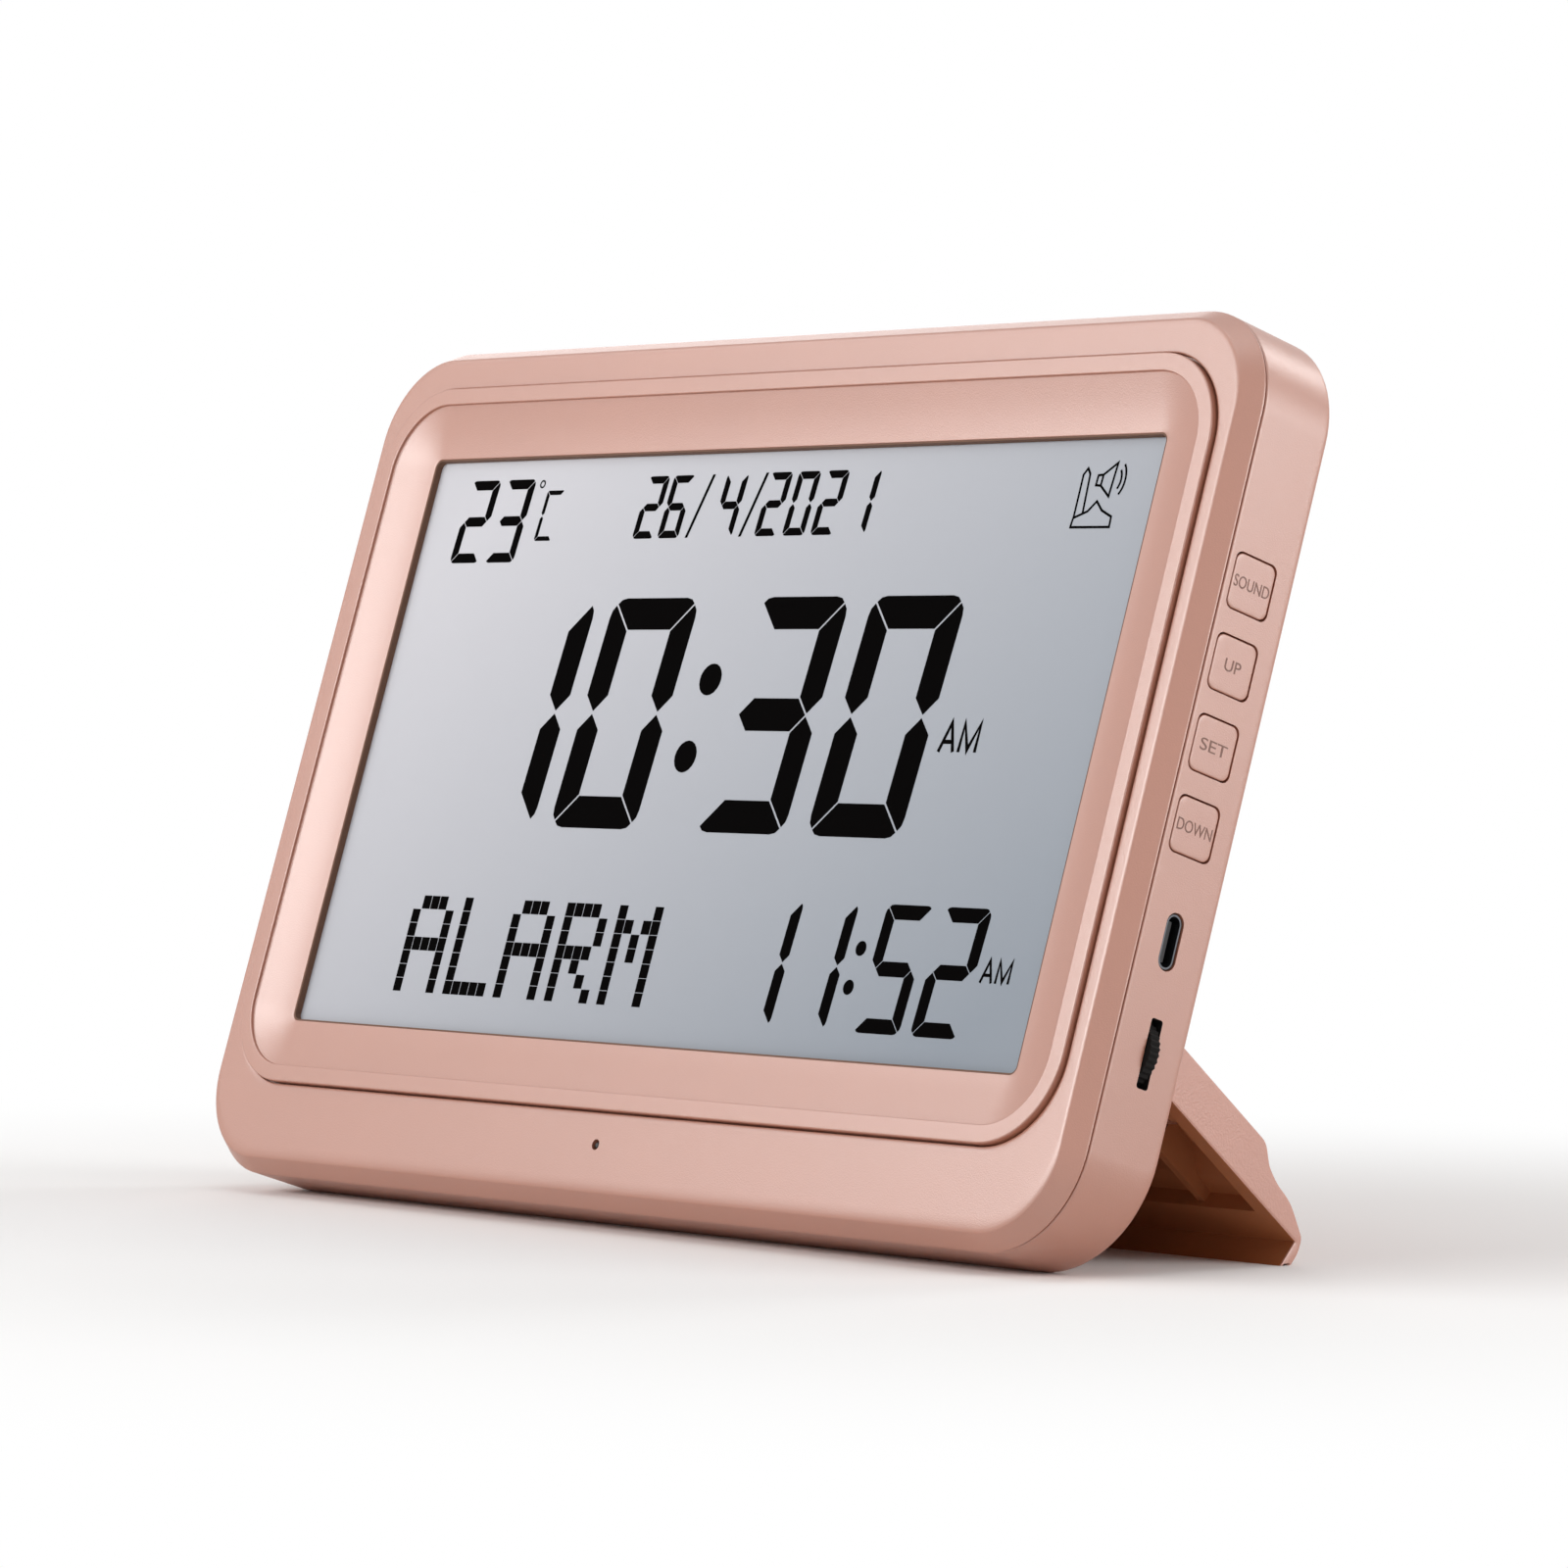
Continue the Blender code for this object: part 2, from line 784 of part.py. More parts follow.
def grille_slots():
    """Rows of slots whose lengths fill a circle in front of the speaker."""
    rows = int(grille_radius / grille_pitch)
    shapes = []
    for row in range(-rows, rows + 1):
        offset = row * grille_pitch
        half_long = math.sqrt(grille_radius**2 - offset**2)
        slot = centred(
            half_long, grille_slot / 2, grille_slot / 2, speaker_offset, bay_height + offset
        )
        ends = (pod_depth - pod_wall - overrun, pod_depth + overrun)
        shapes.append(loft([(slot, ends[0]), (slot, ends[1])], on_face, steps=small_steps))
    return shapes


def build_screws():
    """Pan-head screws sunk in the rear wall."""
    shank_end = body_depth - screw_sink - (cover_thickness + fit)
    profile = [
        (0, screw_head_height),
        (screw_head_flat, screw_head_height),
        (screw_head_radius, screw_head_edge),
        (screw_head_radius, 0),
        (screw_shank_radius, 0),
        (screw_shank_radius, screw_head_height + screw_shank_radius - shank_end),
        (0, screw_head_height - shank_end),
    ]
    seat = body_depth - screw_sink - screw_head_height
    for index, (across, up) in enumerate(screw_places(), start=1):
        name, place = f"housing_screw_{index}", (across, seat, up)
        turned(name, profile, "steel", place, (0, 1, 0), steps=small_round_steps)


def build_buttons():
    """Four caps that slide in the right wall, with the switches and the board behind them."""
    cap = centred(button_width / 2 - button_gap, button_height / 2 - button_gap, button_radius)
    flange = Outline(cap.left, cap.right, cap.bottom - button_flange, cap.top + button_flange, cap.radius)
    post = disc(button_post_radius)
    flange_front = -wall - fit
    flange_back = flange_front - button_flange_thickness
    sections = [
        (post, flange_back - button_post_length),
        (post, flange_back),
        (flange, flange_back),
        (flange, flange_front),
        (cap, flange_front),
        (cap, -edge_softness),
        (inset(cap, edge_softness), 0.0),
    ]
    for name, height in zip(button_names, button_heights):
        place = (half_width, button_centre, height)
        finish_mesh(name, loft(sections, on_side, steps=small_steps), "rose_shell", location=place)
    for index, height in enumerate(button_heights, start=1):
        build_switch(index, height)
    front = rim_depth + lip_length + overrun
    low = (switch_board_face - board_thickness, front, switch_board_bottom)
    high = (switch_board_face, inner_back - fit, switch_board_top)
    finish_mesh("switch_board", block(low, high), "board_green")


def build_switch(index, height):
    """A square tact switch whose plunger faces the button's post."""
    base = switch_board_face + fit
    square = centred(switch_side / 2, switch_side / 2, fit)
    plunger = disc(switch_plunger_radius)
    sections = [
        (square, 0.0),
        (square, switch_height),
        (plunger, switch_height),
        (plunger, switch_height + switch_plunger_height),
    ]
    place = (base, button_centre, height)
    name = f"tact_switch_{index}"
    finish_mesh(name, loft(sections, on_side, steps=small_steps), "black_plastic", location=place)


def build_port():
    """Oval power inlet: a drawn shell with its contact tongue."""
    outer = centred(port_short / 2, port_long / 2, port_short / 2, port_centre, port_height)
    mouth = half_width - port_recess
    back = switch_board_face + fit
    sections = [
        (outer, back),
        (outer, mouth),
        (inset(outer, port_shell), mouth),
        (inset(outer, port_shell), back + port_floor),
    ]
    finish_mesh("usb_shell", loft(sections, on_side), "steel")
    low = (back + port_floor + fit, port_centre - tongue_short / 2, port_height - tongue_long / 2)
    high = (mouth - tongue_recess, port_centre + tongue_short / 2, port_height + tongue_long / 2)
    finish_mesh("usb_tongue", block(low, high), "black_plastic")


def build_volume_wheel():
    """Toothed thumbwheel, the control that it turns and the small board under them."""
    across = half_width + wheel_proud - wheel_radius
    teeth = []
    for step in range(wheel_teeth * 2):
        angle = math.pi * step / wheel_teeth
        radius = wheel_radius - wheel_tooth_depth * (step % 2)
        teeth.append((radius * math.cos(angle), radius * math.sin(angle)))
    bore = []
    for step in range(round_steps):
        angle = 2 * math.pi * step / round_steps
        radius = pot_shaft_radius + fit
        bore.append((radius * math.cos(angle), radius * math.sin(angle)))
    shape = plate([teeth, bore], -wheel_thickness / 2, wheel_thickness / 2, on_face)
    place = (across, wheel_centre, wheel_height)
    finish_mesh("volume_wheel", shape, "black_plastic", location=place)
    base = wheel_centre + wheel_thickness / 2 + fit
    low = (wall_inside - fit - pot_side, base, wheel_height - pot_side / 2)
    high = (wall_inside - fit, base + pot_thickness, wheel_height + pot_side / 2)
    pot = finish_mesh("volume_pot", block(low, high), "steel")
    start = (across, base + pot_thickness / 2, wheel_height)
    end = (across, wheel_centre - wheel_thickness / 2, wheel_height)
    add(pot, "pot_shaft", rod(start, end, pot_shaft_radius))
    front = base + pot_thickness + fit
    half = volume_board_side / 2
    low = (across - half, front, wheel_height - half)
    high = (wall_inside - fit, inner_back - fit, wheel_height + half)
    finish_mesh("volume_board", block(low, high), "board_green")


def build_stand_outline():
    """Side view of the tray: flat back, finger scoop, end wall and foot."""
    ground = lean + math.pi / 2 - stand_opening
    foot_heel = (foot_reach - foot_thickness, -foot_drop - foot_thickness * math.tan(ground))
    return [
        (-stand_tail, stand_top - fit),
        (-stand_tail + fit, stand_top),
        (scoop_start, stand_top),
        (
            scoop_bend - (scoop_bend - scoop_start) * bend_share,
            scoop_floor + (stand_top - scoop_floor) * bend_share,
        ),
        (scoop_bend + (scoop_end - scoop_bend) * bend_share, scoop_floor),
        (scoop_end, scoop_floor - fit),
        (tip_reach - (tip_reach - scoop_end) * bend_share, -tip_drop * (1 - bend_share)),
        (tip_reach, -tip_drop),
        (foot_reach, -(tip_drop + foot_drop) / 2),
        (foot_reach, -foot_drop),
        foot_heel,
        (foot_reach - foot_thickness, -stand_rim),
        (-stand_rim_start, -stand_rim),
        (-stand_tail, -stand_tail_rim),
    ]


def stand_hollow_outline():
    """Side view of the space inside the tray."""
    ceiling = stand_top - stand_plate
    end = foot_reach - foot_thickness
    below = -foot_drop - foot_thickness - overrun
    return [
        (-stand_tail - overrun, ceiling),
        (scoop_start - stand_plate / 2, ceiling),
        (scoop_bend - stand_plate / 2, scoop_floor - scoop_thickness),
        (scoop_end - stand_plate / 2, scoop_floor - stand_plate),
        (end, -tip_drop - stand_plate),
        (end, below),
        (-stand_tail - overrun, below),
    ]


def build_stand():
    """Tray stand on its own empty, which is turned to the open position."""
    axis = bpy.data.objects.new("stand_hinge", None)
    parts.objects.link(axis)
    axis.parent = body_frame
    axis.location = (0, *hinge)
    axis.rotation_euler = (stand_opening, 0, 0)
    shape = plate([build_stand_outline()], -stand_half_width, stand_half_width, in_stand)
    stand = finish_mesh("kickstand", shape, "rose_stand", parent=axis)
    inner = stand_half_width - stand_side_wall
    cut(stand, "stand_hollow", plate([stand_hollow_outline()], -inner, inner, in_stand), axis)
    add(stand, "stand_ribs", gather(stand_ribs()), axis)
    add(stand, "stand_cross_rib", stand_cross_rib(), axis)
    knuckle_start = ear_outer + fit
    knuckles = []
    bores = []
    notches = []
    for side in (-1, 1):
        start, end = side * knuckle_start, side * (inner + stand_side_wall / 2)
        knuckles.append(rod((start, 0, 0), (end, 0, 0), knuckle_radius))
        start = side * (knuckle_start - overrun)
        end = side * (inner + pin_tail + fit)
        bores.append(rod((start, 0, 0), (end, 0, 0), pin_radius + pin_clearance))
        edges = sorted((side * (ear_outer - ear_thickness - fit), side * (ear_outer + fit)))
        reach = ear_radius + notch_margin
        low = (edges[0], -stand_plate, -reach)
        high = (edges[1], stand_top + overrun, reach)
        notches.append(block(low, high))
    add(stand, "stand_knuckles", gather(knuckles), axis)
    cut(stand, "stand_bores", gather(bores), axis)
    cut(stand, "stand_notches", gather(notches), axis)
    for side, name in ((-1, "hinge_pin_left"), (1, "hinge_pin_right")):
        start = side * (ear_outer - ear_thickness - pin_tail)
        end = side * (inner + pin_tail)
        pin = rod((start, *hinge), (end, *hinge), pin_radius, steps=small_round_steps)
        finish_mesh(name, pin, "steel")


def stand_ribs():
    """Ribs along the tray, from the cross rib to the end wall."""
    ceiling = stand_top - stand_plate / 2
    rim = -stand_rim + rib_rim_gap
    outline = [
        (rib_start, ceiling),
        (scoop_start, ceiling),
        (scoop_bend, scoop_floor - stand_plate / 2),
        (scoop_end, scoop_floor - stand_plate / 2),
        (tip_reach - tip_drop, rim),
        (rib_start, rim),
    ]
    half = rib_thickness / 2
    return [plate([outline], place - half, place + half, in_stand) for place in rib_places]


def stand_cross_rib():
    """One rib across the tray near the hinge."""
    rim = -stand_rim + rib_rim_gap * 2
    low = (rib_places[0], rim, -rib_start - rib_thickness)
    high = (rib_places[-1], stand_top - stand_plate / 2, -rib_start + rib_thickness / 2)
    return block(low, high)


def build_battery_bay():
    """Flanged box behind the door, three cells, their springs and the end plates."""
    rim = pod_depth - pod_wall - fit
    cell_level = rim - cell_radius - fit
    floor = cell_level - cell_radius - fit
    inner = centred(bay_half_length, bay_half_height, bay_radius, bay_offset, bay_height)
    outer = inset(inner, -bay_wall)
    flange = inset(outer, -bay_flange)
    sections = [
        (outer, floor - bay_wall),
        (outer, rim - bay_wall),
        (flange, rim - bay_wall),
        (flange, rim),
        (inner, rim),
        (inner, floor),
    ]
    finish_mesh("battery_box", loft(sections, on_face, steps=small_steps), "black_plastic")
    contact_inside = bay_half_length - fit - contact_thickness
    for side, name in ((-1, "contact_plate_left"), (1, "contact_plate_right")):
        edges = sorted((side * contact_inside, side * (bay_half_length - fit)))
        low = (bay_offset + edges[0], cell_level - contact_half_depth, bay_height - contact_half_height)
        high = (bay_offset + edges[1], cell_level + contact_half_depth, bay_height + contact_half_height)
        finish_mesh(name, block(low, high), "steel")
    profile = [
        (0, cell_length + nub_length),
        (nub_radius, cell_length + nub_length),
        (nub_radius, cell_length),
        (cell_radius - cell_edge, cell_length),
        (cell_radius, cell_length - cell_edge),
        (cell_radius, cell_edge),
        (cell_radius - cell_edge, 0),
        (0, 0),
    ]
    for index in range(3):
        side = 1 if index % 2 == 0 else -1
        level = bay_height + (index - 1) * cell_pitch
        nub = bay_offset + side * (contact_inside - fit)
        tail = nub - side * (cell_length + nub_length)
        place = (tail, cell_level, level)
        turned(f"battery_{index + 1}", profile, "cell_jacket", place, (side, 0, 0))
        plate_face = bay_offset - side * contact_inside
        build_spring(index + 1, plate_face, tail, side, cell_level, level)


def build_spring(index, plate_face, cell_end, side, depth, level):
    """Conical spring, one unbroken wire, between the end plate and the cell."""
    start = plate_face + side * (fit + spring_wire)
    end = cell_end - side * (fit + spring_wire)
    count = spring_turns * spring_points
    path = []
    for step in range(count + 1):
        share = step / count
        angle = 2 * math.pi * spring_turns * share
        radius = spring_wide + (spring_narrow - spring_wide) * share
        across = start + (end - start) * share
        path.append(Vector((across, depth + radius * math.cos(angle), level + radius * math.sin(angle))))
    gap = least_gap(path, spring_points // 2) - 2 * spring_wire
    print(f"battery_spring_{index}: least gap between turns {gap * 1000:.2f} mm")
    curve = bpy.data.curves.new(f"battery_spring_{index}", "CURVE")
    curve.dimensions = "3D"
    curve.bevel_depth = spring_wire
    curve.bevel_resolution = 1
    curve.use_fill_caps = True
    spline = curve.splines.new("POLY")
    spline.points.add(len(path) - 1)
    for point, place in zip(spline.points, path):
        point.co = (*place, 1)
    new_object(curve.name, curve, "steel", None)


def least_gap(path, apart):
    """Least distance between points of a path that lie at least apart steps from each other."""
    gaps = []
    for index, point in enumerate(path):
        gaps += [(point - other).length for other in path[index + apart :]]
    return min(gaps)


def build_battery_door():
    """Snap-in door, flush with the pod, with a thumb grip."""
    outline = centred(door_half_length, door_half_height, door_radius, 0.0, 0.0)
    sections = [
        (outline, -door_thickness),
        (outline, -edge_softness),
        (inset(outline, edge_softness), 0.0),
    ]
    place = (bay_offset, pod_depth, bay_height)
    door = finish_mesh("battery_door", loft(sections, on_face), "rose_shell", location=place)
    grip = disc(door_grip_radius, bay_offset + door_half_length - door_grip_inset, bay_height)
    sections = [(inset(grip, door_grip_depth), pod_depth - door_grip_depth), (grip, pod_depth + overrun)]
    cut(door, "door_grip", loft(sections, on_face))


def build_speaker():
    """Round speaker behind the grille: basket with magnet, and the cone in it."""
    level = pod_depth - pod_wall - fit - speaker_depth
    place = (speaker_offset, level, bay_height)
    pieces = (
        ("speaker_frame", speaker_frame_shares, "black_plastic"),
        ("speaker_cone", speaker_cone_shares, "paper_black"),
    )
    for name, shares, material in pieces:
        profile = [(speaker_radius * out, speaker_depth * along) for out, along in shares]
        turned(name, profile, material, place, (0, 1, 0))


def settle():
    """Leans the body frame back and puts the clock's bottom centre at the origin."""
    body_frame.rotation_euler = (-lean, 0, 0)
    bpy.context.view_layer.update()
    graph = bpy.context.evaluated_depsgraph_get()
    corners = []
    for item in parts.objects:
        if item.type == "EMPTY":
            continue
        shown = item.evaluated_get(graph)
        mesh = shown.to_mesh()
        corners += [shown.matrix_world @ vertex.co for vertex in mesh.vertices]
        shown.to_mesh_clear()
    low = Vector([min(corner[axis] for corner in corners) for axis in range(3)])
    high = Vector([max(corner[axis] for corner in corners) for axis in range(3)])
    middle = (low + high) / 2
    body_frame.location = (-middle.x, -middle.y, -low.z)
    bpy.context.view_layer.update()
    size = high - low
    print("lean back", round(math.degrees(lean), 2), "degrees")
    print("size", [round(side * 1000, 2) for side in size], "mm")


build_front_cover()
build_light_sensor()
build_bezel()
build_display()
build_rear_housing()
build_screws()
build_buttons()
build_port()
build_volume_wheel()
build_stand()
build_battery_bay()
build_battery_door()
build_speaker()
settle()
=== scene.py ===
# %% [markdown]
# # Dressing a calendar desk clock
# The clock's solids come ready made from its CAD model. This lesson gives them their
# finishes, draws what the display shows and adds the fine detail that solids leave out.
# The model is loaded first, because every later piece rides on one of its bodies.

# %% Load the clock
import json
import math
from collections import namedtuple

import bmesh
import bpy
from mathutils import Matrix, Vector


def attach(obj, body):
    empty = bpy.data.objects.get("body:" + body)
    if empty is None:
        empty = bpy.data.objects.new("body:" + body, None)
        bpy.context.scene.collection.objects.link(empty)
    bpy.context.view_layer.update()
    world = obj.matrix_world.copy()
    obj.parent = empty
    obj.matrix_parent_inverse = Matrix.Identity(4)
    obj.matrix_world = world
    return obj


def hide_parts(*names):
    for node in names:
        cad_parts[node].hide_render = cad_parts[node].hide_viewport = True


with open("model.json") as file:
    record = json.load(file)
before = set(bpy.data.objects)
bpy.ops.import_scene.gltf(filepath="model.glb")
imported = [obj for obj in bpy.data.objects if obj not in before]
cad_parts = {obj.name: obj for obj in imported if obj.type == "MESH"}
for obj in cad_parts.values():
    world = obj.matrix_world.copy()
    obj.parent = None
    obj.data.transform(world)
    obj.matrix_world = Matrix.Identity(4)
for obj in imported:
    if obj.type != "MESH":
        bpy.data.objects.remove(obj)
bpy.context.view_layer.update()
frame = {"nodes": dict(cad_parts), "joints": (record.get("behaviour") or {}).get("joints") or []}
nodes = frame["nodes"]

# %% [markdown]
# ## The clock's own frame
# The clock leans back on its stand, so it is easier to work in its own frame: +X to its
# right, +Y through the face to the rear and +Z up the face. The battery door slides along
# that +Y, and the stand's hinge gives one known point, so both come from the joints.

# %% Find the leaning frame
mm = 0.001
joints = {joint["name"]: joint for joint in frame["joints"]}
rearward = Vector(joints["door_lift_off"]["axis"])
lean = math.atan2(-rearward.z, rearward.y)
turn = Matrix.Rotation(-lean, 4, "X")
hinge = Vector((0, 32 * mm, 32.5 * mm))
origin = Vector(joints["stand_fold"]["pos_m"]) - turn @ hinge
clock_frame = Matrix.Translation(origin) @ turn
print("the face leans back", round(math.degrees(lean), 2), "degrees")

# %% [markdown]
# ## Camera
# The picture is taken from the front right with a long lens, almost level with the clock.
# The three directions below are the camera's right, up and backward in world space.

# %% Place the camera
right, up, forward = (0.6399, 0.7684, 0.0122), (-0.0162, -0.0024, 0.9999), (-0.7683, 0.6400, -0.0109)
camera_data = bpy.data.cameras.new("camera")
camera_data.sensor_width = 36
camera_data.lens = 146.9
camera = bpy.data.objects.new("camera", camera_data)
bpy.context.scene.collection.objects.link(camera)
axes = Matrix((right, up, [-part for part in forward])).transposed().to_4x4()
camera.matrix_world = Matrix.Translation((0.85512, -0.70468, 0.08846)) @ axes
bpy.context.scene.camera = camera
bpy.context.scene.view_settings.view_transform = "Standard"

# %% [markdown]
# ## Studio
# A product picture needs a pale floor that takes the shadow, a white surround and large
# soft lamps. The surround is white only for rays that the camera, mirrors and glass see, so
# it doesn't flood the clock with light. Area lamps are used because their size sets how
# soft an edge or a highlight looks.

# %% Build the studio
def srgb(red, green, blue):
    """A colour picked on a screen, 0 to 255, as the linear values that shaders take."""
    shares = [value / 255 for value in (red, green, blue)]
    return [s / 12.92 if s <= 0.04045 else ((s + 0.055) / 1.055) ** 2.4 for s in shares]


def node_setup(tree, *kinds):
    """Adds nodes of these kinds and returns them with a short way to link sockets."""
    made = [tree.nodes.new(kind) for kind in kinds]
    return made, tree.links.new


def seen_rays(tree):
    """1 for rays from the camera and for those that mirrors and glass send on, else 0."""
    (path, first, second), link = node_setup(
        tree, "ShaderNodeLightPath", "ShaderNodeMath", "ShaderNodeMath"
    )
    first.operation = second.operation = "MAXIMUM"
    link(path.outputs["Is Camera Ray"], first.inputs[0])
    link(path.outputs["Is Transmission Ray"], first.inputs[1])
    link(first.outputs[0], second.inputs[0])
    link(path.outputs["Is Glossy Ray"], second.inputs[1])
    return second.outputs[0]


world = bpy.data.worlds.new("studio")
bpy.context.scene.world = world
world.use_nodes = True
tree = world.node_tree
tree.nodes.clear()
(glow, white, mix, output), link = node_setup(
    tree, "ShaderNodeBackground", "ShaderNodeBackground", "ShaderNodeMixShader", "ShaderNodeOutputWorld"
)
glow.inputs["Color"].default_value = (1, 1, 1, 1)
glow.inputs["Strength"].default_value = 0.3
white.inputs["Color"].default_value = (1, 1, 1, 1)
link(seen_rays(tree), mix.inputs["Fac"])
link(glow.outputs[0], mix.inputs[1])
link(white.outputs[0], mix.inputs[2])
link(mix.outputs[0], output.inputs["Surface"])

floor_mesh = bpy.data.meshes.new("floor")
reach = 6
corners = [(-reach, -reach, 0), (reach, -reach, 0), (reach, reach, 0), (-reach, reach, 0)]
floor_mesh.from_pydata(corners, [], [(0, 1, 2, 3)])
floor = bpy.data.objects.new("floor", floor_mesh)
bpy.context.scene.collection.objects.link(floor)

paper = bpy.data.materials.new("floor_paper")
paper.use_nodes = True
tree = paper.node_tree
shader = tree.nodes["Principled BSDF"]
shader.inputs["Base Color"].default_value = (*srgb(250, 249, 248), 1)
shader.inputs["Roughness"].default_value = 0.9
(white, mix, place, distance, fade, share), link = node_setup(
    tree, "ShaderNodeEmission", "ShaderNodeMixShader", "ShaderNodeTexCoord", "ShaderNodeVectorMath",
    "ShaderNodeMapRange", "ShaderNodeMath"
)
distance.operation = "LENGTH"
fade.interpolation_type = "SMOOTHSTEP"
fade.inputs["From Min"].default_value = 0.14
fade.inputs["From Max"].default_value = 0.36
fade.inputs["To Min"].default_value = 0.0
share.operation = "MULTIPLY"
link(place.outputs["Object"], distance.inputs[0])
link(distance.outputs["Value"], fade.inputs["Value"])
link(fade.outputs["Result"], share.inputs[0])
link(seen_rays(tree), share.inputs[1])
link(share.outputs[0], mix.inputs["Fac"])
link(shader.outputs[0], mix.inputs[1])
link(white.outputs[0], mix.inputs[2])
link(mix.outputs[0], tree.nodes["Material Output"].inputs["Surface"])
floor_mesh.materials.append(paper)


def soft_lamp(name, place, target, size, power, tint=(255, 255, 255)):
    """A rectangular lamp at place that faces target."""
    data = bpy.data.lights.new(name, "AREA")
    data.shape = "RECTANGLE"
    data.size, data.size_y = size
    data.energy = power
    data.color = srgb(*tint)
    lamp = bpy.data.objects.new(name, data)
    bpy.context.scene.collection.objects.link(lamp)
    lamp.location = place
    lamp.rotation_euler = (Vector(target) - Vector(place)).to_track_quat("-Z", "Y").to_euler()


soft_lamp("front_left", (-0.36, -1.1, 0.58), (0, 0, 0.08), (1.3, 0.4), 9.5)
soft_lamp("right", (1.09, 0.5, 0.42), (0, 0, 0.08), (0.85, 0.6), 7.0)
soft_lamp("behind", (0.13, 1.03, 0.86), (0, 0, 0.08), (0.35, 0.35), 2.0)
soft_lamp("above", (0, -0.1, 1.5), (0, 0, 0.08), (1.0, 1.0), 3.1)
soft_lamp("rear_left", (-1.0, 0.66, 0.5), (0, 0, 0.08), (0.5, 0.5), 1.4)
soft_lamp("high_left", (-0.74, -0.46, 0.86), (0, 0, 0.08), (0.35, 0.35), 1.2)

# %% [markdown]
# ## Finishes
# The shells are moulded plastic under a satin metallic lacquer. A Principled shader with a
# high IOR and no metal in it gives the soft sheen, and two noises at different sizes break it
# up: fine flakes that tilt the normal a little and a slow drift in tone. Noise is worked out in
# the object's own metres, so the grain keeps its real size on every piece.

# %% Make the finishes
def finish(
    name, colour, roughness, metallic=0.0, grain=3000, bump=0.02, drift=0.05, coat=0.0, ior=1.5, shine=0.5
):
    """A moulded or lacquered finish with fine grain, tone drift and uneven gloss."""
    material = bpy.data.materials.new(name)
    material.use_nodes = True
    tree = material.node_tree
    shader = tree.nodes["Principled BSDF"]
    shader.inputs["Metallic"].default_value = metallic
    shader.inputs["Coat Weight"].default_value = coat
    shader.inputs["IOR"].default_value = ior
    shader.inputs["Specular IOR Level"].default_value = shine
    (place, fine, slow, tone, gloss, relief), link = node_setup(
        tree, "ShaderNodeTexCoord", "ShaderNodeTexNoise", "ShaderNodeTexNoise",
        "ShaderNodeMix", "ShaderNodeMapRange", "ShaderNodeBump"
    )
    for noise, scale, detail in ((fine, grain, 2.0), (slow, 30, 3.0)):
        noise.inputs["Scale"].default_value = scale
        noise.inputs["Detail"].default_value = detail
        link(place.outputs["Object"], noise.inputs["Vector"])
    tone.data_type = "RGBA"
    base = srgb(*colour)
    tone.inputs["A"].default_value = (*[value * (1 - drift) for value in base], 1)
    tone.inputs["B"].default_value = (*[min(1, value * (1 + drift)) for value in base], 1)
    link(slow.outputs["Fac"], tone.inputs["Factor"])
    link(tone.outputs["Result"], shader.inputs["Base Color"])
    gloss.inputs["To Min"].default_value = roughness - 0.04
    gloss.inputs["To Max"].default_value = roughness + 0.04
    link(fine.outputs["Fac"], gloss.inputs["Value"])
    link(gloss.outputs["Result"], shader.inputs["Roughness"])
    relief.inputs["Strength"].default_value = bump
    relief.inputs["Distance"].default_value = 0.0002
    link(fine.outputs["Fac"], relief.inputs["Height"])
    link(relief.outputs["Normal"], shader.inputs["Normal"])
    return material


rose_lacquer = finish("rose_lacquer", (170, 108, 84), 0.36, grain=4200, bump=0.16, ior=2.25)
rose_texture = finish("rose_texture", (178, 116, 94), 0.48, grain=2600, bump=0.3, ior=2.25)
tray_brown = finish("tray_brown", (170, 103, 62), 0.5, grain=1500, bump=0.1)
# Brown painted shade for the display window's wall, which is rose lacquer lying in the shade.
window_shade_brown = finish("window_shade_brown", (104, 72, 54), 0.7)
black_plastic = finish("black_plastic", (24, 23, 23), 0.45, bump=0.1)
white_plastic = finish("white_plastic", (226, 225, 220), 0.5)
grey_rubber = finish("grey_rubber", (110, 110, 112), 0.8)
bright_steel = finish("bright_steel", (188, 189, 192), 0.28, metallic=1.0, grain=1500)
dark_steel = finish("dark_steel", (92, 94, 98), 0.4, metallic=1.0, grain=1500)
matt_black = finish("matt_black", (20, 17, 16), 0.85, bump=0.1, shine=0.2)
cone_paper = finish("cone_paper", (26, 26, 27), 0.9, grain=900, bump=0.4)
cell_jacket = finish("cell_jacket", (54, 62, 112), 0.3, coat=0.3)
circuit_board = finish("circuit_board", (22, 92, 48), 0.35, coat=0.4)
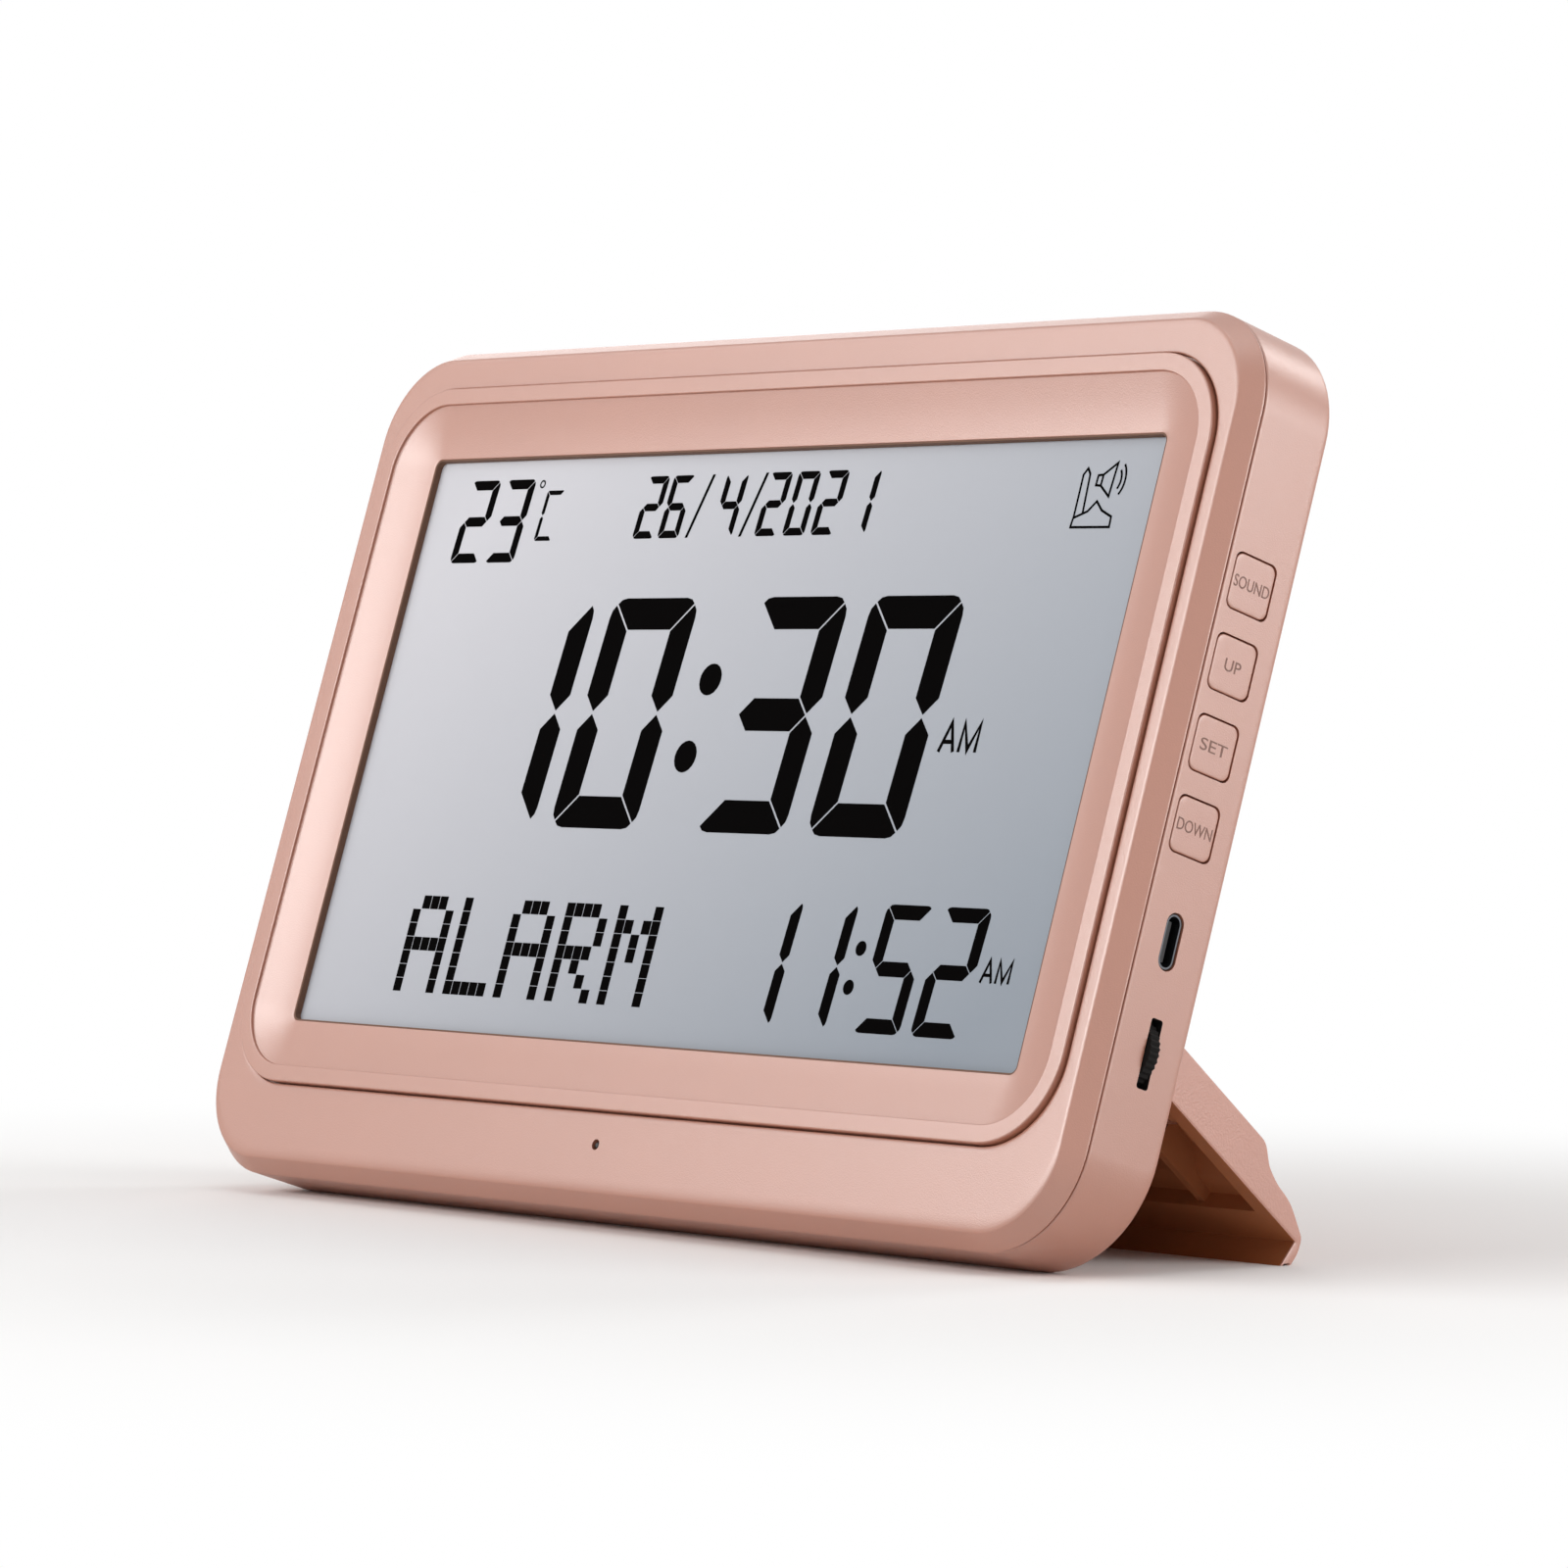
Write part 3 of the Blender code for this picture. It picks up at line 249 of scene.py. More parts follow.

# %% [markdown]
# ## Display glass
# The display is a reflective liquid crystal: grey film under glass that catches more light at
# the upper left than at the lower right. A straight blend of two greys along the slope of the
# glass paints this light and shade onto the film, fixed to the glass itself and not to the viewer.

# %% Make the glass
def painted_shade_blend(name, shade_colour, light_colour, low, high, roughness):
    """A finish with painted shade: it goes from one colour to the other between two places on the face."""
    material = finish(name, shade_colour, roughness, grain=5000, bump=0.01, drift=0.0, shine=0.3)
    tree = material.node_tree
    (place, along, shift, tone), link = node_setup(
        tree, "ShaderNodeTexCoord", "ShaderNodeVectorMath", "ShaderNodeMath", "ShaderNodeMix"
    )
    start, end = clock_frame @ Vector(low), clock_frame @ Vector(high)
    axis = (end - start) / (end - start).length_squared
    along.operation = "DOT_PRODUCT"
    along.inputs[1].default_value = axis
    shift.operation = "SUBTRACT"
    shift.use_clamp = True
    shift.inputs[1].default_value = start.dot(axis)
    link(place.outputs["Object"], along.inputs[0])
    link(along.outputs["Value"], shift.inputs[0])
    tone.data_type = "RGBA"
    tone.inputs["A"].default_value = (*srgb(*shade_colour), 1)
    tone.inputs["B"].default_value = (*srgb(*light_colour), 1)
    link(shift.outputs[0], tone.inputs["Factor"])
    link(tone.outputs["Result"], tree.nodes["Principled BSDF"].inputs["Base Color"])
    return material


# The film's blend is painted light and shade: lighter at the upper left, darker at the lower right.
display_film_painted_shade = painted_shade_blend(
    "display_film_painted_shade", (133, 141, 151), (202, 201, 206), (62 * mm, 0, 17 * mm), (-52 * mm, 0, 150 * mm), 0.35
)
ink = finish("display_ink", (4, 3, 3), 0.7, ior=1.2, shine=0.05)

node_finishes = {
    rose_lacquer: "front_cover bezel_ring rear_housing battery_door button_sound button_up button_set "
    "button_down",
    rose_texture: "kickstand",
    display_film_painted_shade: "lcd_panel",
    black_plastic: "light_sensor clock_chip tact_switch_1 tact_switch_2 tact_switch_3 tact_switch_4 "
    "usb_tongue battery_box speaker_frame",
    matt_black: "volume_wheel",
    dark_steel: "usb_shell",
    white_plastic: "lcd_holder",
    grey_rubber: "zebra_strip",
    bright_steel: "capacitor volume_pot hinge_pin_left hinge_pin_right contact_plate_left "
    "contact_plate_right housing_screw_1 housing_screw_2 housing_screw_3 housing_screw_4 battery_spring_1 "
    "battery_spring_2 battery_spring_3",
    circuit_board: "main_board switch_board volume_board",
    cone_paper: "speaker_cone",
    cell_jacket: "battery_1 battery_2 battery_3",
}
for material, names in node_finishes.items():
    for name in names.split():
        slots = nodes[name].material_slots
        for slot in slots:
            slot.material = material
        if not slots:
            nodes[name].data.materials.append(material)
print("finishes", len(node_finishes))

# %% [markdown]
# ## Outlines and skins
# Every shell of the clock is a rounded rectangle that changes size with depth. So a shell
# can be skinned over a short list of such outlines, as a boat builder planks a row of
# frames. The CAD solids do this with few faces. Here each corner gets more of them, and
# each edge that a finger would feel is rounded, because that is where a highlight runs.

# %% Draw outlines and skin them
Outline = namedtuple("Outline", "left right bottom top radius")
corner_steps = 18
edge_steps = 4


def inset(outline, amount, radius=None):
    """The same outline drawn in by amount, its corners staying concentric."""
    left, right, bottom, top, old_radius = outline
    new_radius = old_radius - amount if radius is None else radius
    return Outline(left + amount, right - amount, bottom + amount, top - amount, new_radius)


def between(first, second, share):
    """The outline that lies that share of the way from the first to the second."""
    return Outline(*(a + (b - a) * share for a, b in zip(first, second)))


def centred(half_across, half_up, radius, across=0.0, up=0.0):
    """An outline given by its half sizes and its centre."""
    return Outline(across - half_across, across + half_across, up - half_up, up + half_up, radius)


def outline_points(outline, steps):
    """Points round a rounded rectangle, one quarter after the other."""
    points = []
    for quarter in range(4):
        right_side, upper_side = quarter in (0, 3), quarter in (0, 1)
        across = outline.right - outline.radius if right_side else outline.left + outline.radius
        up = outline.top - outline.radius if upper_side else outline.bottom + outline.radius
        for step in range(steps + 1):
            angle = math.pi / 2 * (quarter + step / steps)
            reach_across, reach_up = outline.radius * math.cos(angle), outline.radius * math.sin(angle)
            points.append((across + reach_across, up + reach_up))
    return points


def eased(corners, closed=True):
    """Rows of numbers with each corner bent round: the last number of a row is how far.

    The first and the second number of a row tell how long the way to the next row is."""
    made = []
    for index, (*here, softness) in enumerate(corners):
        here = Vector(here)
        if not softness or (not closed and index in (0, len(corners) - 1)):
            made.append(here)
            continue
        ends = []
        for neighbour in (corners[index - 1], corners[(index + 1) % len(corners)]):
            away = Vector(neighbour[:-1]) - here
            ends.append(here + away * min(0.45, softness / math.hypot(away[0], away[1])))
        for step in range(edge_steps + 1):
            share = step / edge_steps
            made.append(ends[0] * (1 - share) ** 2 + here * 2 * share * (1 - share) + ends[1] * share**2)
    return made


def at_face(across, up, depth):
    """An outline in the face's plane, depth to the rear."""
    return Vector((across, depth, up))


def at_side(across, up, depth):
    """An outline in the side wall's plane, depth to the right."""
    return Vector((depth, across, up))


def skin(sections, place=at_face, ring=False, steps=corner_steps):
    """Skins outlines, each with its depth and how far its edge is rounded."""
    corners = [(outline.left, depth, *outline[1:], softness) for outline, depth, softness in sections]
    shape = bmesh.new()
    loops = []
    for left, depth, *rest in eased(corners, ring):
        points = outline_points(Outline(left, *rest), steps)
        loops.append([shape.verts.new(place(across, up, depth)) for across, up in points])
    pairs = list(zip(loops, loops[1:])) + ([(loops[-1], loops[0])] if ring else [])
    for first, second in pairs:
        for index in range(len(first)):
            after = (index + 1) % len(first)
            shape.faces.new((first[index], first[after], second[after], second[index]))
    if not ring:
        shape.faces.new(loops[0])
        shape.faces.new(loops[-1])
    bmesh.ops.remove_doubles(shape, verts=shape.verts, dist=0.002 * mm)
    return shape


# %% [markdown]
# ## From shape to piece
# A bmesh becomes an object here, and holes and bosses are then cut or joined by Booleans.
# The helpers are deleted once the result is a mesh of its own. Edges sharper than 32
# degrees stay crisp, and a Weighted Normal modifier lets large flat faces keep a flat
# shade right up to the rounded edge beside them.

# %% Turn shapes into pieces
crisp_angle = math.radians(32)


def as_object(name, shape):
    """A bmesh as a new object, its faces turned outward."""
    bmesh.ops.recalc_face_normals(shape, faces=shape.faces)
    if shape.calc_volume(signed=True) < 0:
        bmesh.ops.reverse_faces(shape, faces=shape.faces)
    mesh = bpy.data.meshes.new(name)
    shape.to_mesh(mesh)
    shape.free()
    item = bpy.data.objects.new(name, mesh)
    bpy.context.scene.collection.objects.link(item)
    return item


def piece(name, shape, material, node=None, body="clock_body", changes=(), frame_matrix=clock_frame):
    """A finished piece: the shape after its Boolean changes, riding on a body."""
    item = as_object(name, shape)
    for operation, other in changes:
        helper = as_object(f"{name}_helper", other)
        step = item.modifiers.new("change", "BOOLEAN")
        step.operation, step.object, step.solver = operation, helper, "EXACT"
        graph = bpy.context.evaluated_depsgraph_get()
        mesh = bpy.data.meshes.new_from_object(item.evaluated_get(graph))
        item.modifiers.clear()
        item.data = mesh
        bpy.data.objects.remove(helper)
    mesh = item.data
    mesh.name = name
    mesh.materials.clear()
    mesh.materials.append(material)
    mesh.shade_smooth()
    mesh.set_sharp_from_angle(angle=crisp_angle)
    weight = item.modifiers.new("flat_faces_first", "WEIGHTED_NORMAL")
    weight.keep_sharp = True
    mesh.transform(frame_matrix)
    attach(item, body)
    if node:
        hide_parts(node)
    print(name, len(mesh.polygons), "faces")
    return item


def repaint(item, frame_matrix, material, chosen):
    """Another finish for the faces that chosen picks by their middle and the way they face."""
    item.data.materials.append(material)
    back = frame_matrix.inverted()
    for face in item.data.polygons:
        if chosen(back @ face.center, back.to_3x3() @ face.normal):
            face.material_index = 1


def rod(start, end, radius, steps=32):
    """A cylinder between two points."""
    start, end = Vector(start), Vector(end)
    shape = bmesh.new()
    length = (end - start).length
    bmesh.ops.create_cone(
        shape, cap_ends=True, segments=steps, radius1=radius, radius2=radius, depth=length
    )
    turn = (end - start).to_track_quat("Z", "Y").to_matrix().to_4x4()
    bmesh.ops.transform(shape, matrix=Matrix.Translation((start + end) / 2) @ turn, verts=shape.verts)
    return shape


def box_shape(low, high):
    """A box between two corners."""
    shape = bmesh.new()
    bmesh.ops.create_cube(shape, size=1.0)
    low, high = Vector(low), Vector(high)
    bmesh.ops.scale(shape, vec=high - low, verts=shape.verts)
    bmesh.ops.translate(shape, vec=(low + high) / 2, verts=shape.verts)
    return shape


def gather(shapes):
    """Several shapes as one."""
    whole = bmesh.new()
    for shape in shapes:
        mesh = bpy.data.meshes.new("part")
        shape.to_mesh(mesh)
        shape.free()
        whole.from_mesh(mesh)
        bpy.data.meshes.remove(mesh)
    return whole


# %% [markdown]
# ## Front cover
# The cover is a frame with a broad chamfer. The edge between the flat front and the chamfer
# is rounded, and it carries the long pale highlight that outlines the clock.

# %% Skin the front cover
body_outline = Outline(-117.5 * mm, 117.5 * mm, 0.0, 158 * mm, 18 * mm)
opening = Outline(-112.1 * mm, 112.1 * mm, 16.2 * mm, 149.8 * mm, 16 * mm)
ledge_inner = inset(opening, 7 * mm)
cover_depth = 3.8 * mm
cover_back = 3.4 * mm
lip = inset(body_outline, 2.5 * mm)
cover_sections = [
    (body_outline, cover_depth, 0.12 * mm),
    (body_outline, 3.55 * mm, 0.3 * mm),
    (inset(body_outline, 2.5 * mm), 0.0, 0.5 * mm),
    (opening, 0.0, 0.25 * mm),
    (opening, 1.6 * mm, 0),
    (ledge_inner, 1.6 * mm, 0),
    (ledge_inner, cover_back, 0),
    (inset(lip, 1.4 * mm), cover_back, 0),
    (inset(lip, 1.4 * mm), cover_depth + 0.8 * mm, 0),
    (lip, cover_depth + 0.8 * mm, 0),
    (lip, cover_depth, 0),
]
screw_across, screw_rows = 106.7 * mm, (10.8 * mm, 147.2 * mm)
screw_places = [(side * screw_across, row) for row in screw_rows for side in (-1, 1)]
boss_tip = cover_back + 6.3 * mm
bosses = [rod((x, cover_back - 1 * mm, z), (x, boss_tip, z), 3.2 * mm) for x, z in screw_places]
bores = [rod((x, cover_back, z), (x, boss_tip + 1 * mm, z), 1.6 * mm) for x, z in screw_places]
sensor_hole = rod((0, -1 * mm, 10.6 * mm), (0, cover_back + 1 * mm, 10.6 * mm), 0.95 * mm)
piece(
    "front_cover_shell", skin(cover_sections, ring=True), rose_lacquer, "front_cover",
    changes=[("UNION", gather(bosses)), ("DIFFERENCE", gather([*bores, sensor_hole]))],
)

# %% [markdown]
# ## Bezel ring and shade liner
# The ring stands a millimetre proud of the cover and steps down into a dished slope that
# falls to the display. The slope follows a quarter sine, steep at first and flat near the
# glass, so light slides over it. A thin liner lines the window down to the glass; its brown
# is painted shade for the window wall, which lies in the shade. The glass lies deep enough
# for the liner to show on the far side of the window only.

# %% Skin the ring and its shade liner
ring_face = -1 * mm
ring_outline = inset(opening, 0.3 * mm)
step_outline = inset(opening, 3.4 * mm)
step_level = ring_face + 0.6 * mm
cove_drop, cove_steps = 1.9 * mm, 14
window = Outline(-98.6 * mm, 99.2 * mm, 28.5 * mm, 136.5 * mm, 1.6 * mm)
window_back = 2.1 * mm
ring_sections = [
    (ring_outline, 1.3 * mm, 0),
    (ring_outline, ring_face, 0.3 * mm),
    (step_outline, ring_face, 0.22 * mm),
    (step_outline, step_level, 0.1 * mm),
]
for step in range(1, cove_steps + 1):
    share = step / cove_steps
    drop = cove_drop * (math.sin(math.pi / 2 * share) + share) / 2
    ring_sections.append((between(step_outline, window, share), step_level + drop, 0))
ring_sections[-1] = (*ring_sections[-1][:2], 0.12 * mm)
ring_sections += [
    (window, window_back, 0),
    (inset(ledge_inner, 0.3 * mm), window_back, 0),
    (inset(ledge_inner, 0.3 * mm), 1.3 * mm, 0),
]
piece("bezel_ring_shell", skin(ring_sections, ring=True), rose_lacquer, "bezel_ring")

# The liner's brown is painted shade for the shaded window wall.
liner_outer, liner_inner = inset(window, 0.02 * mm), inset(window, 0.32 * mm)
glass_depth, panel_back = 2.9 * mm, 4.6 * mm
liner_front, liner_back = 1.6 * mm, glass_depth - 0.02 * mm
liner_sections = [
    (liner_outer, liner_back, 0), (liner_outer, liner_front, 0),
    (liner_inner, liner_front, 0.1 * mm), (liner_inner, liner_back, 0),
]
piece("display_shade_liner", skin(liner_sections, ring=True), window_shade_brown)
panel = inset(window, -1.2 * mm, 1 * mm)
panel_sections = [(panel, glass_depth, 0), (panel, panel_back, 0)]
piece("display_panel", skin(panel_sections), display_film_painted_shade, "lcd_panel")

# %% [markdown]
# ## Rear housing
# The housing is the deep shell behind the cover, with the pod for the cells and the
# speaker, the plinth under it and two hinge ears. It is built like a machined part: one
# skin, raised blocks joined on, and then every opening cut through it.

# %% Shape the housing's raised blocks
body_depth, wall = 19.2 * mm, 2.2 * mm
rim_depth, inner_back = cover_depth + 0.3 * mm, body_depth - wall
pod_depth, pod_wall = 36 * mm, 2 * mm
pod_outline = centred(88 * mm, 40.25 * mm, 9 * mm, 0, 85.75 * mm)
bay_height = 85.75 * mm
hinge_side = 104 * mm
stand_opening = math.radians(66.7)
stand_along = Vector((math.sin(stand_opening), -math.cos(stand_opening)))
stand_out = Vector((math.cos(stand_opening), math.sin(stand_opening)))


def fillet(outline, back, radius, lower_radius=None, steps=8):
    """Sections that round a rear edge off by that radius, the lower side by its own."""
    radii = (radius, lower_radius or radius)
    sections = []
    for step in range(steps + 1):
        ahead = max(radii) * (1 - math.sin(math.pi / 2 * step / steps))
        by_side, by_lower = (size - math.sqrt(size**2 - max(0, size - ahead) ** 2) for size in radii)
        rounded = inset(outline, by_side)._replace(bottom=outline.bottom + by_lower)
        sections.append((rounded, back - ahead, 0))
    return sections


def raised_block(outline, start, back, draft, radius):
    """A raised block with draft and a filleted rear edge."""
    return skin([(inset(outline, -draft), start, 0), *fillet(outline, back, radius)])


def plate(loops, start, end, place, soft=0.0):
    """A flat outline, holes inside it too, from depth start to depth end, its edges soft."""
    curve = bpy.data.curves.new("outline", "CURVE")
    curve.dimensions, curve.fill_mode = "2D", "BOTH"
    curve.extrude = (end - start) / 2 - soft
    curve.bevel_depth, curve.offset, curve.bevel_resolution = soft, -soft, 1
    for loop in loops:
        spline = curve.splines.new("POLY")
        spline.points.add(len(loop) - 1)
        spline.use_cyclic_u = True
        for point, (across, up) in zip(spline.points, loop):
            point.co = (across, up, 0, 1)
    guide = bpy.data.objects.new("outline", curve)
    bpy.context.scene.collection.objects.link(guide)
    mesh = bpy.data.meshes.new_from_object(guide.evaluated_get(bpy.context.evaluated_depsgraph_get()))
    bpy.data.objects.remove(guide)
    shape = bmesh.new()
    shape.from_mesh(mesh)
    bmesh.ops.remove_doubles(shape, verts=shape.verts, dist=0.002 * mm)
    for vertex in shape.verts:
        vertex.co = place(vertex.co.x, vertex.co.y, (start + end) / 2 + vertex.co.z)
    return shape


def ear_points():
    """Side view of a hinge ear: a knuckle on a tapered arm."""
    pivot, radius, lift, base = Vector((hinge.y, hinge.z)), 3.4 * mm, 1.4 * mm, 21 * mm
    first, last = math.pi - math.asin(lift / radius), math.radians(-110)
    top = pivot + stand_out * lift
    points = [top + stand_along * ((base - top.x) / stand_along.x)]
    for step in range(25):
        angle = first + (last - first) * step / 24
        points.append(pivot + (stand_along * math.cos(angle) + stand_out * math.sin(angle)) * radius)
    return [tuple(point) for point in (*points, Vector((base, 26.5 * mm)))]


# %% [markdown]
# The side wall is pierced for four buttons, the power port and the volume wheel, and the
# pod for the battery door and the speaker. Each cutter is one outline pushed through.

# %% Cut the housing's openings
button_heights = {
    "button_sound": 112.9 * mm, "button_up": 99.4 * mm, "button_set": 85.9 * mm, "button_down": 72.4 * mm
}
button_centre = 10.15 * mm
port_place, port_long, port_short = (10.8 * mm, 53.9 * mm), 8.94 * mm, 3.2 * mm
wheel_place = (11.8 * mm, 35.75 * mm)
door_centre = (-44 * mm, bay_height)
speaker_centre = (44 * mm, bay_height)
side_reach = (114.3 * mm, 118.5 * mm)


def through(outline, reach, place=at_face, steps=10):
    """A cutter of one outline between two depths."""
    return skin([(outline, reach[0], 0), (outline, reach[1], 0)], place, steps=steps)


side_cuts = [
    through(centred(4.75 * mm, 4.8 * mm, 1.5 * mm, button_centre, height), side_reach, at_side)
    for height in button_heights.values()
]
half_port, half_port_long = port_short / 2 + 0.3 * mm, port_long / 2 + 0.3 * mm
port_hole = centred(half_port, half_port_long, half_port, *port_place)
side_cuts.append(through(port_hole, side_reach, at_side))
side_cuts.append(through(centred(1.25 * mm, 5.75 * mm, 0.5 * mm, *wheel_place), side_reach, at_side))
pod_reach = (pod_depth - pod_wall - 1 * mm, pod_depth + 1 * mm)
grille_cuts = []
for row in range(-5, 6):
    rise = row * 4.2 * mm
    half_long = math.sqrt((22 * mm) ** 2 - rise**2)
    slit = centred(half_long, 1 * mm, 1 * mm, speaker_centre[0], bay_height + rise)
    grille_cuts.append(through(slit, pod_reach, steps=6))
block_root, screw_seat = 17.3 * mm, 16.3 * mm
posts, heads, post_bores = [], [], []
for x, z in screw_places:
    posts.append(rod((x, boss_tip + 0.3 * mm, z), (x, block_root, z), 4 * mm))
    heads.append(rod((x, screw_seat - 0.3 * mm, z), (x, body_depth + 1 * mm, z), 2.9 * mm))
    post_bores.append(rod((x, boss_tip - 0.7 * mm, z), (x, screw_seat + 0.7 * mm, z), 1.6 * mm))
ears, ear_bores = [], []
for side in (-1, 1):
    ears.append(plate([ear_points()], *sorted((side * 99.5 * mm, side * hinge_side)), at_side))
    ear_bores.append(rod((side * 98 * mm, hinge.y, hinge.z), (side * 106 * mm, hinge.y, hinge.z), 1.5 * mm))
plinth = centred(106.5 * mm, 16.95 * mm, 3 * mm, 0, 27.45 * mm)
housing_sections = [
    *reversed(fillet(body_outline, body_depth, 0.8 * mm, 3.4 * mm)),
    (body_outline, rim_depth, 0.45 * mm),
    (inset(body_outline, wall), rim_depth, 0),
    (inset(body_outline, wall), inner_back, 0),
]
housing = piece(
    "rear_housing_shell", skin(housing_sections), rose_lacquer, "rear_housing",
    changes=[
        ("UNION", raised_block(pod_outline, block_root, pod_depth, 0.8 * mm, 2.5 * mm)),
        ("UNION", raised_block(plinth, 17.6 * mm, 22 * mm, 0.3 * mm, 1.2 * mm)),
        ("DIFFERENCE", through(inset(pod_outline, pod_wall), (inner_back - 1 * mm, pod_depth - pod_wall))),
        ("UNION", gather(posts)),
        ("DIFFERENCE", gather(heads)),
        ("DIFFERENCE", gather(post_bores)),
        ("DIFFERENCE", gather(side_cuts)),
        ("DIFFERENCE", through(centred(31.3 * mm, 26.5 * mm, 3 * mm, *door_centre), pod_reach)),
        ("DIFFERENCE", gather(grille_cuts)),
        ("UNION", gather(ears)),
        ("DIFFERENCE", gather(ear_bores)),
    ],
)


def in_wheel_slot_shade(middle, facing):
    """True on the walls of the slot that the volume wheel looks out of, which get painted shade."""
    near = abs(middle.y - wheel_place[0]) < 1.3 * mm and abs(middle.z - wheel_place[1]) < 5.8 * mm
    return near and middle.x > side_reach[0] and abs(facing.x) < 0.5


# The slot's walls get matt black as painted shade for the dark inside of the narrow slot.
repaint(housing, clock_frame, matt_black, in_wheel_slot_shade)

# %% [markdown]
# ## Stand
# The stand is a shallow tray as wide as the clock. Its back is sprayed like the shells but
# rougher. Inside the tray and on its rim the finish is a more saturated brown. Ribs keep it
# stiff, and a foot closes the tray at its lower end.
# It is drawn in its own frame, which turns with the hinge: along the plate and out of it.

# %% Shape the stand
stand_frame = clock_frame @ Matrix.Translation(hinge) @ Matrix.Rotation(stand_opening, 4, "X")
stand_half, stand_inner = 111.6 * mm, 108.3 * mm
stand_profile = [
    (-10.8, 3.6, 0.1), (-10.5, 3.9, 0.2), (14.2, 3.9, 1.2), (17.42, 1.38, 0.8), (20.63, 0.3, 1.5),
    (24.9, 0, 2), (29.1, -2.03, 1), (30.9, -2.9, 0.8), (31.8, -5.33, 1), (31.8, -7.75, 0.25), (29.9, -9.36, 0.15),
    (29.9, -4.4, 0.1), (-7, -4.4, 1), (-10.8, -1.3, 0.5),
]
hollow_profile = [(-11.8, 2.1), (13.3, 2.1), (17.9, -1.14), (22.2, -1.5), (22.2, -10.7), (-11.8, -10.7)]
rib_profile = [(7.5, 3), (14.2, 3), (18.8, -0.6), (24.9, -0.6), (28, -3.4), (7.5, -3.4)]
rib_places = [across * mm for across in (-95, -45, 0, 45, 95)]


def in_stand(along, out, depth):
    """The stand's own plane: along from the hinge to the foot, out of its back."""
    return Vector((depth, out, -along))


def in_mm(profile):
    """A profile written in millimetres, in metres."""
    return [tuple(value * mm for value in corner) for corner in profile]


profile = [tuple(point) for point in eased(in_mm(stand_profile))]
ribs = [plate([in_mm(rib_profile)], place - 0.8 * mm, place + 0.8 * mm, in_stand) for place in rib_places]
knuckles, bores, notches = [], [], []
for side in (-1, 1):
    knuckles.append(rod((side * 104.3 * mm, 0, 0), (side * 110.4 * mm, 0, 0), 3 * mm))
    bores.append(rod((side * 103.3 * mm, 0, 0), (side * 110.1 * mm, 0, 0), 1.5 * mm))
    edges = sorted((side * 99.2 * mm, side * 104.3 * mm))
    notches.append(box_shape((edges[0], -1.8 * mm, -3.9 * mm), (edges[1], 4.9 * mm, 3.9 * mm)))
stand = piece(
    "stand_tray", plate([profile], -stand_half, stand_half, in_stand, soft=0.35 * mm),
    rose_texture, "kickstand", "stand", frame_matrix=stand_frame,
    changes=[
        ("DIFFERENCE", plate([in_mm(hollow_profile)], -stand_inner, stand_inner, in_stand)),
        ("UNION", gather(ribs)),
        ("UNION", box_shape((rib_places[0], -2.4 * mm, -9.1 * mm), (rib_places[-1], 3 * mm, -6.7 * mm))),
        ("UNION", gather(knuckles)),
        ("DIFFERENCE", gather(bores)),
        ("DIFFERENCE", gather(notches)),
    ],
)


def is_tray_brown(middle, facing):
    """True inside the stand's tray and on its rim."""
    inside = abs(middle.x) < stand_inner + 0.1 * mm and middle.y < 2.2 * mm and middle.z > -30 * mm
    return (inside and facing.y < 0.5) or (middle.y < -4.2 * mm and facing.y < -0.9)


repaint(stand, stand_frame, tray_brown, is_tray_brown)

# %% [markdown]
# ## Buttons and battery door
# The four caps sit flush in the wall with a quarter of a millimetre of gap. The door has
# the things a thumb looks for: a shallow round grip with three ridges and an arrow.

# %% Shape the caps and the door
for name, height in button_heights.items():
    cap = centred(4.5 * mm, 4.55 * mm, 1.5 * mm, button_centre, height)
    flange = Outline(cap.left, cap.right, cap.bottom - 0.9 * mm, cap.top + 0.9 * mm, cap.radius)
    post = centred(1.5 * mm, 1.5 * mm, 1.5 * mm, button_centre, height)
    wall_face = 117.5 * mm
    sections = [
        (post, wall_face - 5 * mm, 0), (post, wall_face - 3.9 * mm, 0), (flange, wall_face - 3.9 * mm, 0),
        (flange, wall_face - 2.5 * mm, 0), (cap, wall_face - 2.5 * mm, 0), (cap, wall_face, 0.3 * mm),
        (inset(cap, 1 * mm), wall_face, 0),
    ]
    piece(f"{name}_cap", skin(sections, at_side, steps=8), rose_lacquer, name, name)

door_outline = centred(31 * mm, 26.2 * mm, 3 * mm, *door_centre)
grip_centre = (-20.5 * mm, bay_height)
door_sections = [
    (door_outline, 34.2 * mm, 0), (door_outline, pod_depth, 0.35 * mm),
    (inset(door_outline, 1 * mm), pod_depth, 0),
]
grip_sections = [
    (centred(5.2 * mm, 5.2 * mm, 5.2 * mm, *grip_centre), 35.2 * mm, 0),
    (centred(6.2 * mm, 6.2 * mm, 6.2 * mm, *grip_centre), 36.2 * mm, 0),
]
ridges = [
    skin([
        (centred(0.4 * mm, 3.4 * mm, 0.35 * mm, grip_centre[0] + shift * mm, bay_height), 34.9 * mm, 0),
        (centred(0.25 * mm, 3.25 * mm, 0.24 * mm, grip_centre[0] + shift * mm, bay_height), 35.85 * mm, 0),
    ], steps=4)
    for shift in (-1.9, 0, 1.9)
]
arrow = [(-34 * mm, bay_height - 3.2 * mm), (-28.8 * mm, bay_height), (-34 * mm, bay_height + 3.2 * mm)]
piece(
    "battery_door_cap", skin(door_sections), rose_lacquer, "battery_door", "door",
    changes=[
        ("DIFFERENCE", skin(grip_sections)),
        ("UNION", gather(ridges)),
        ("DIFFERENCE", plate([arrow], 35.4 * mm, 37 * mm, at_face)),
    ],
)

# %% [markdown]
# ## Screws
# Each screw is a pan head with a cross in it. A cross needs two cuts only, and it tells
# the viewer at once that the part is a screw and not a peg.

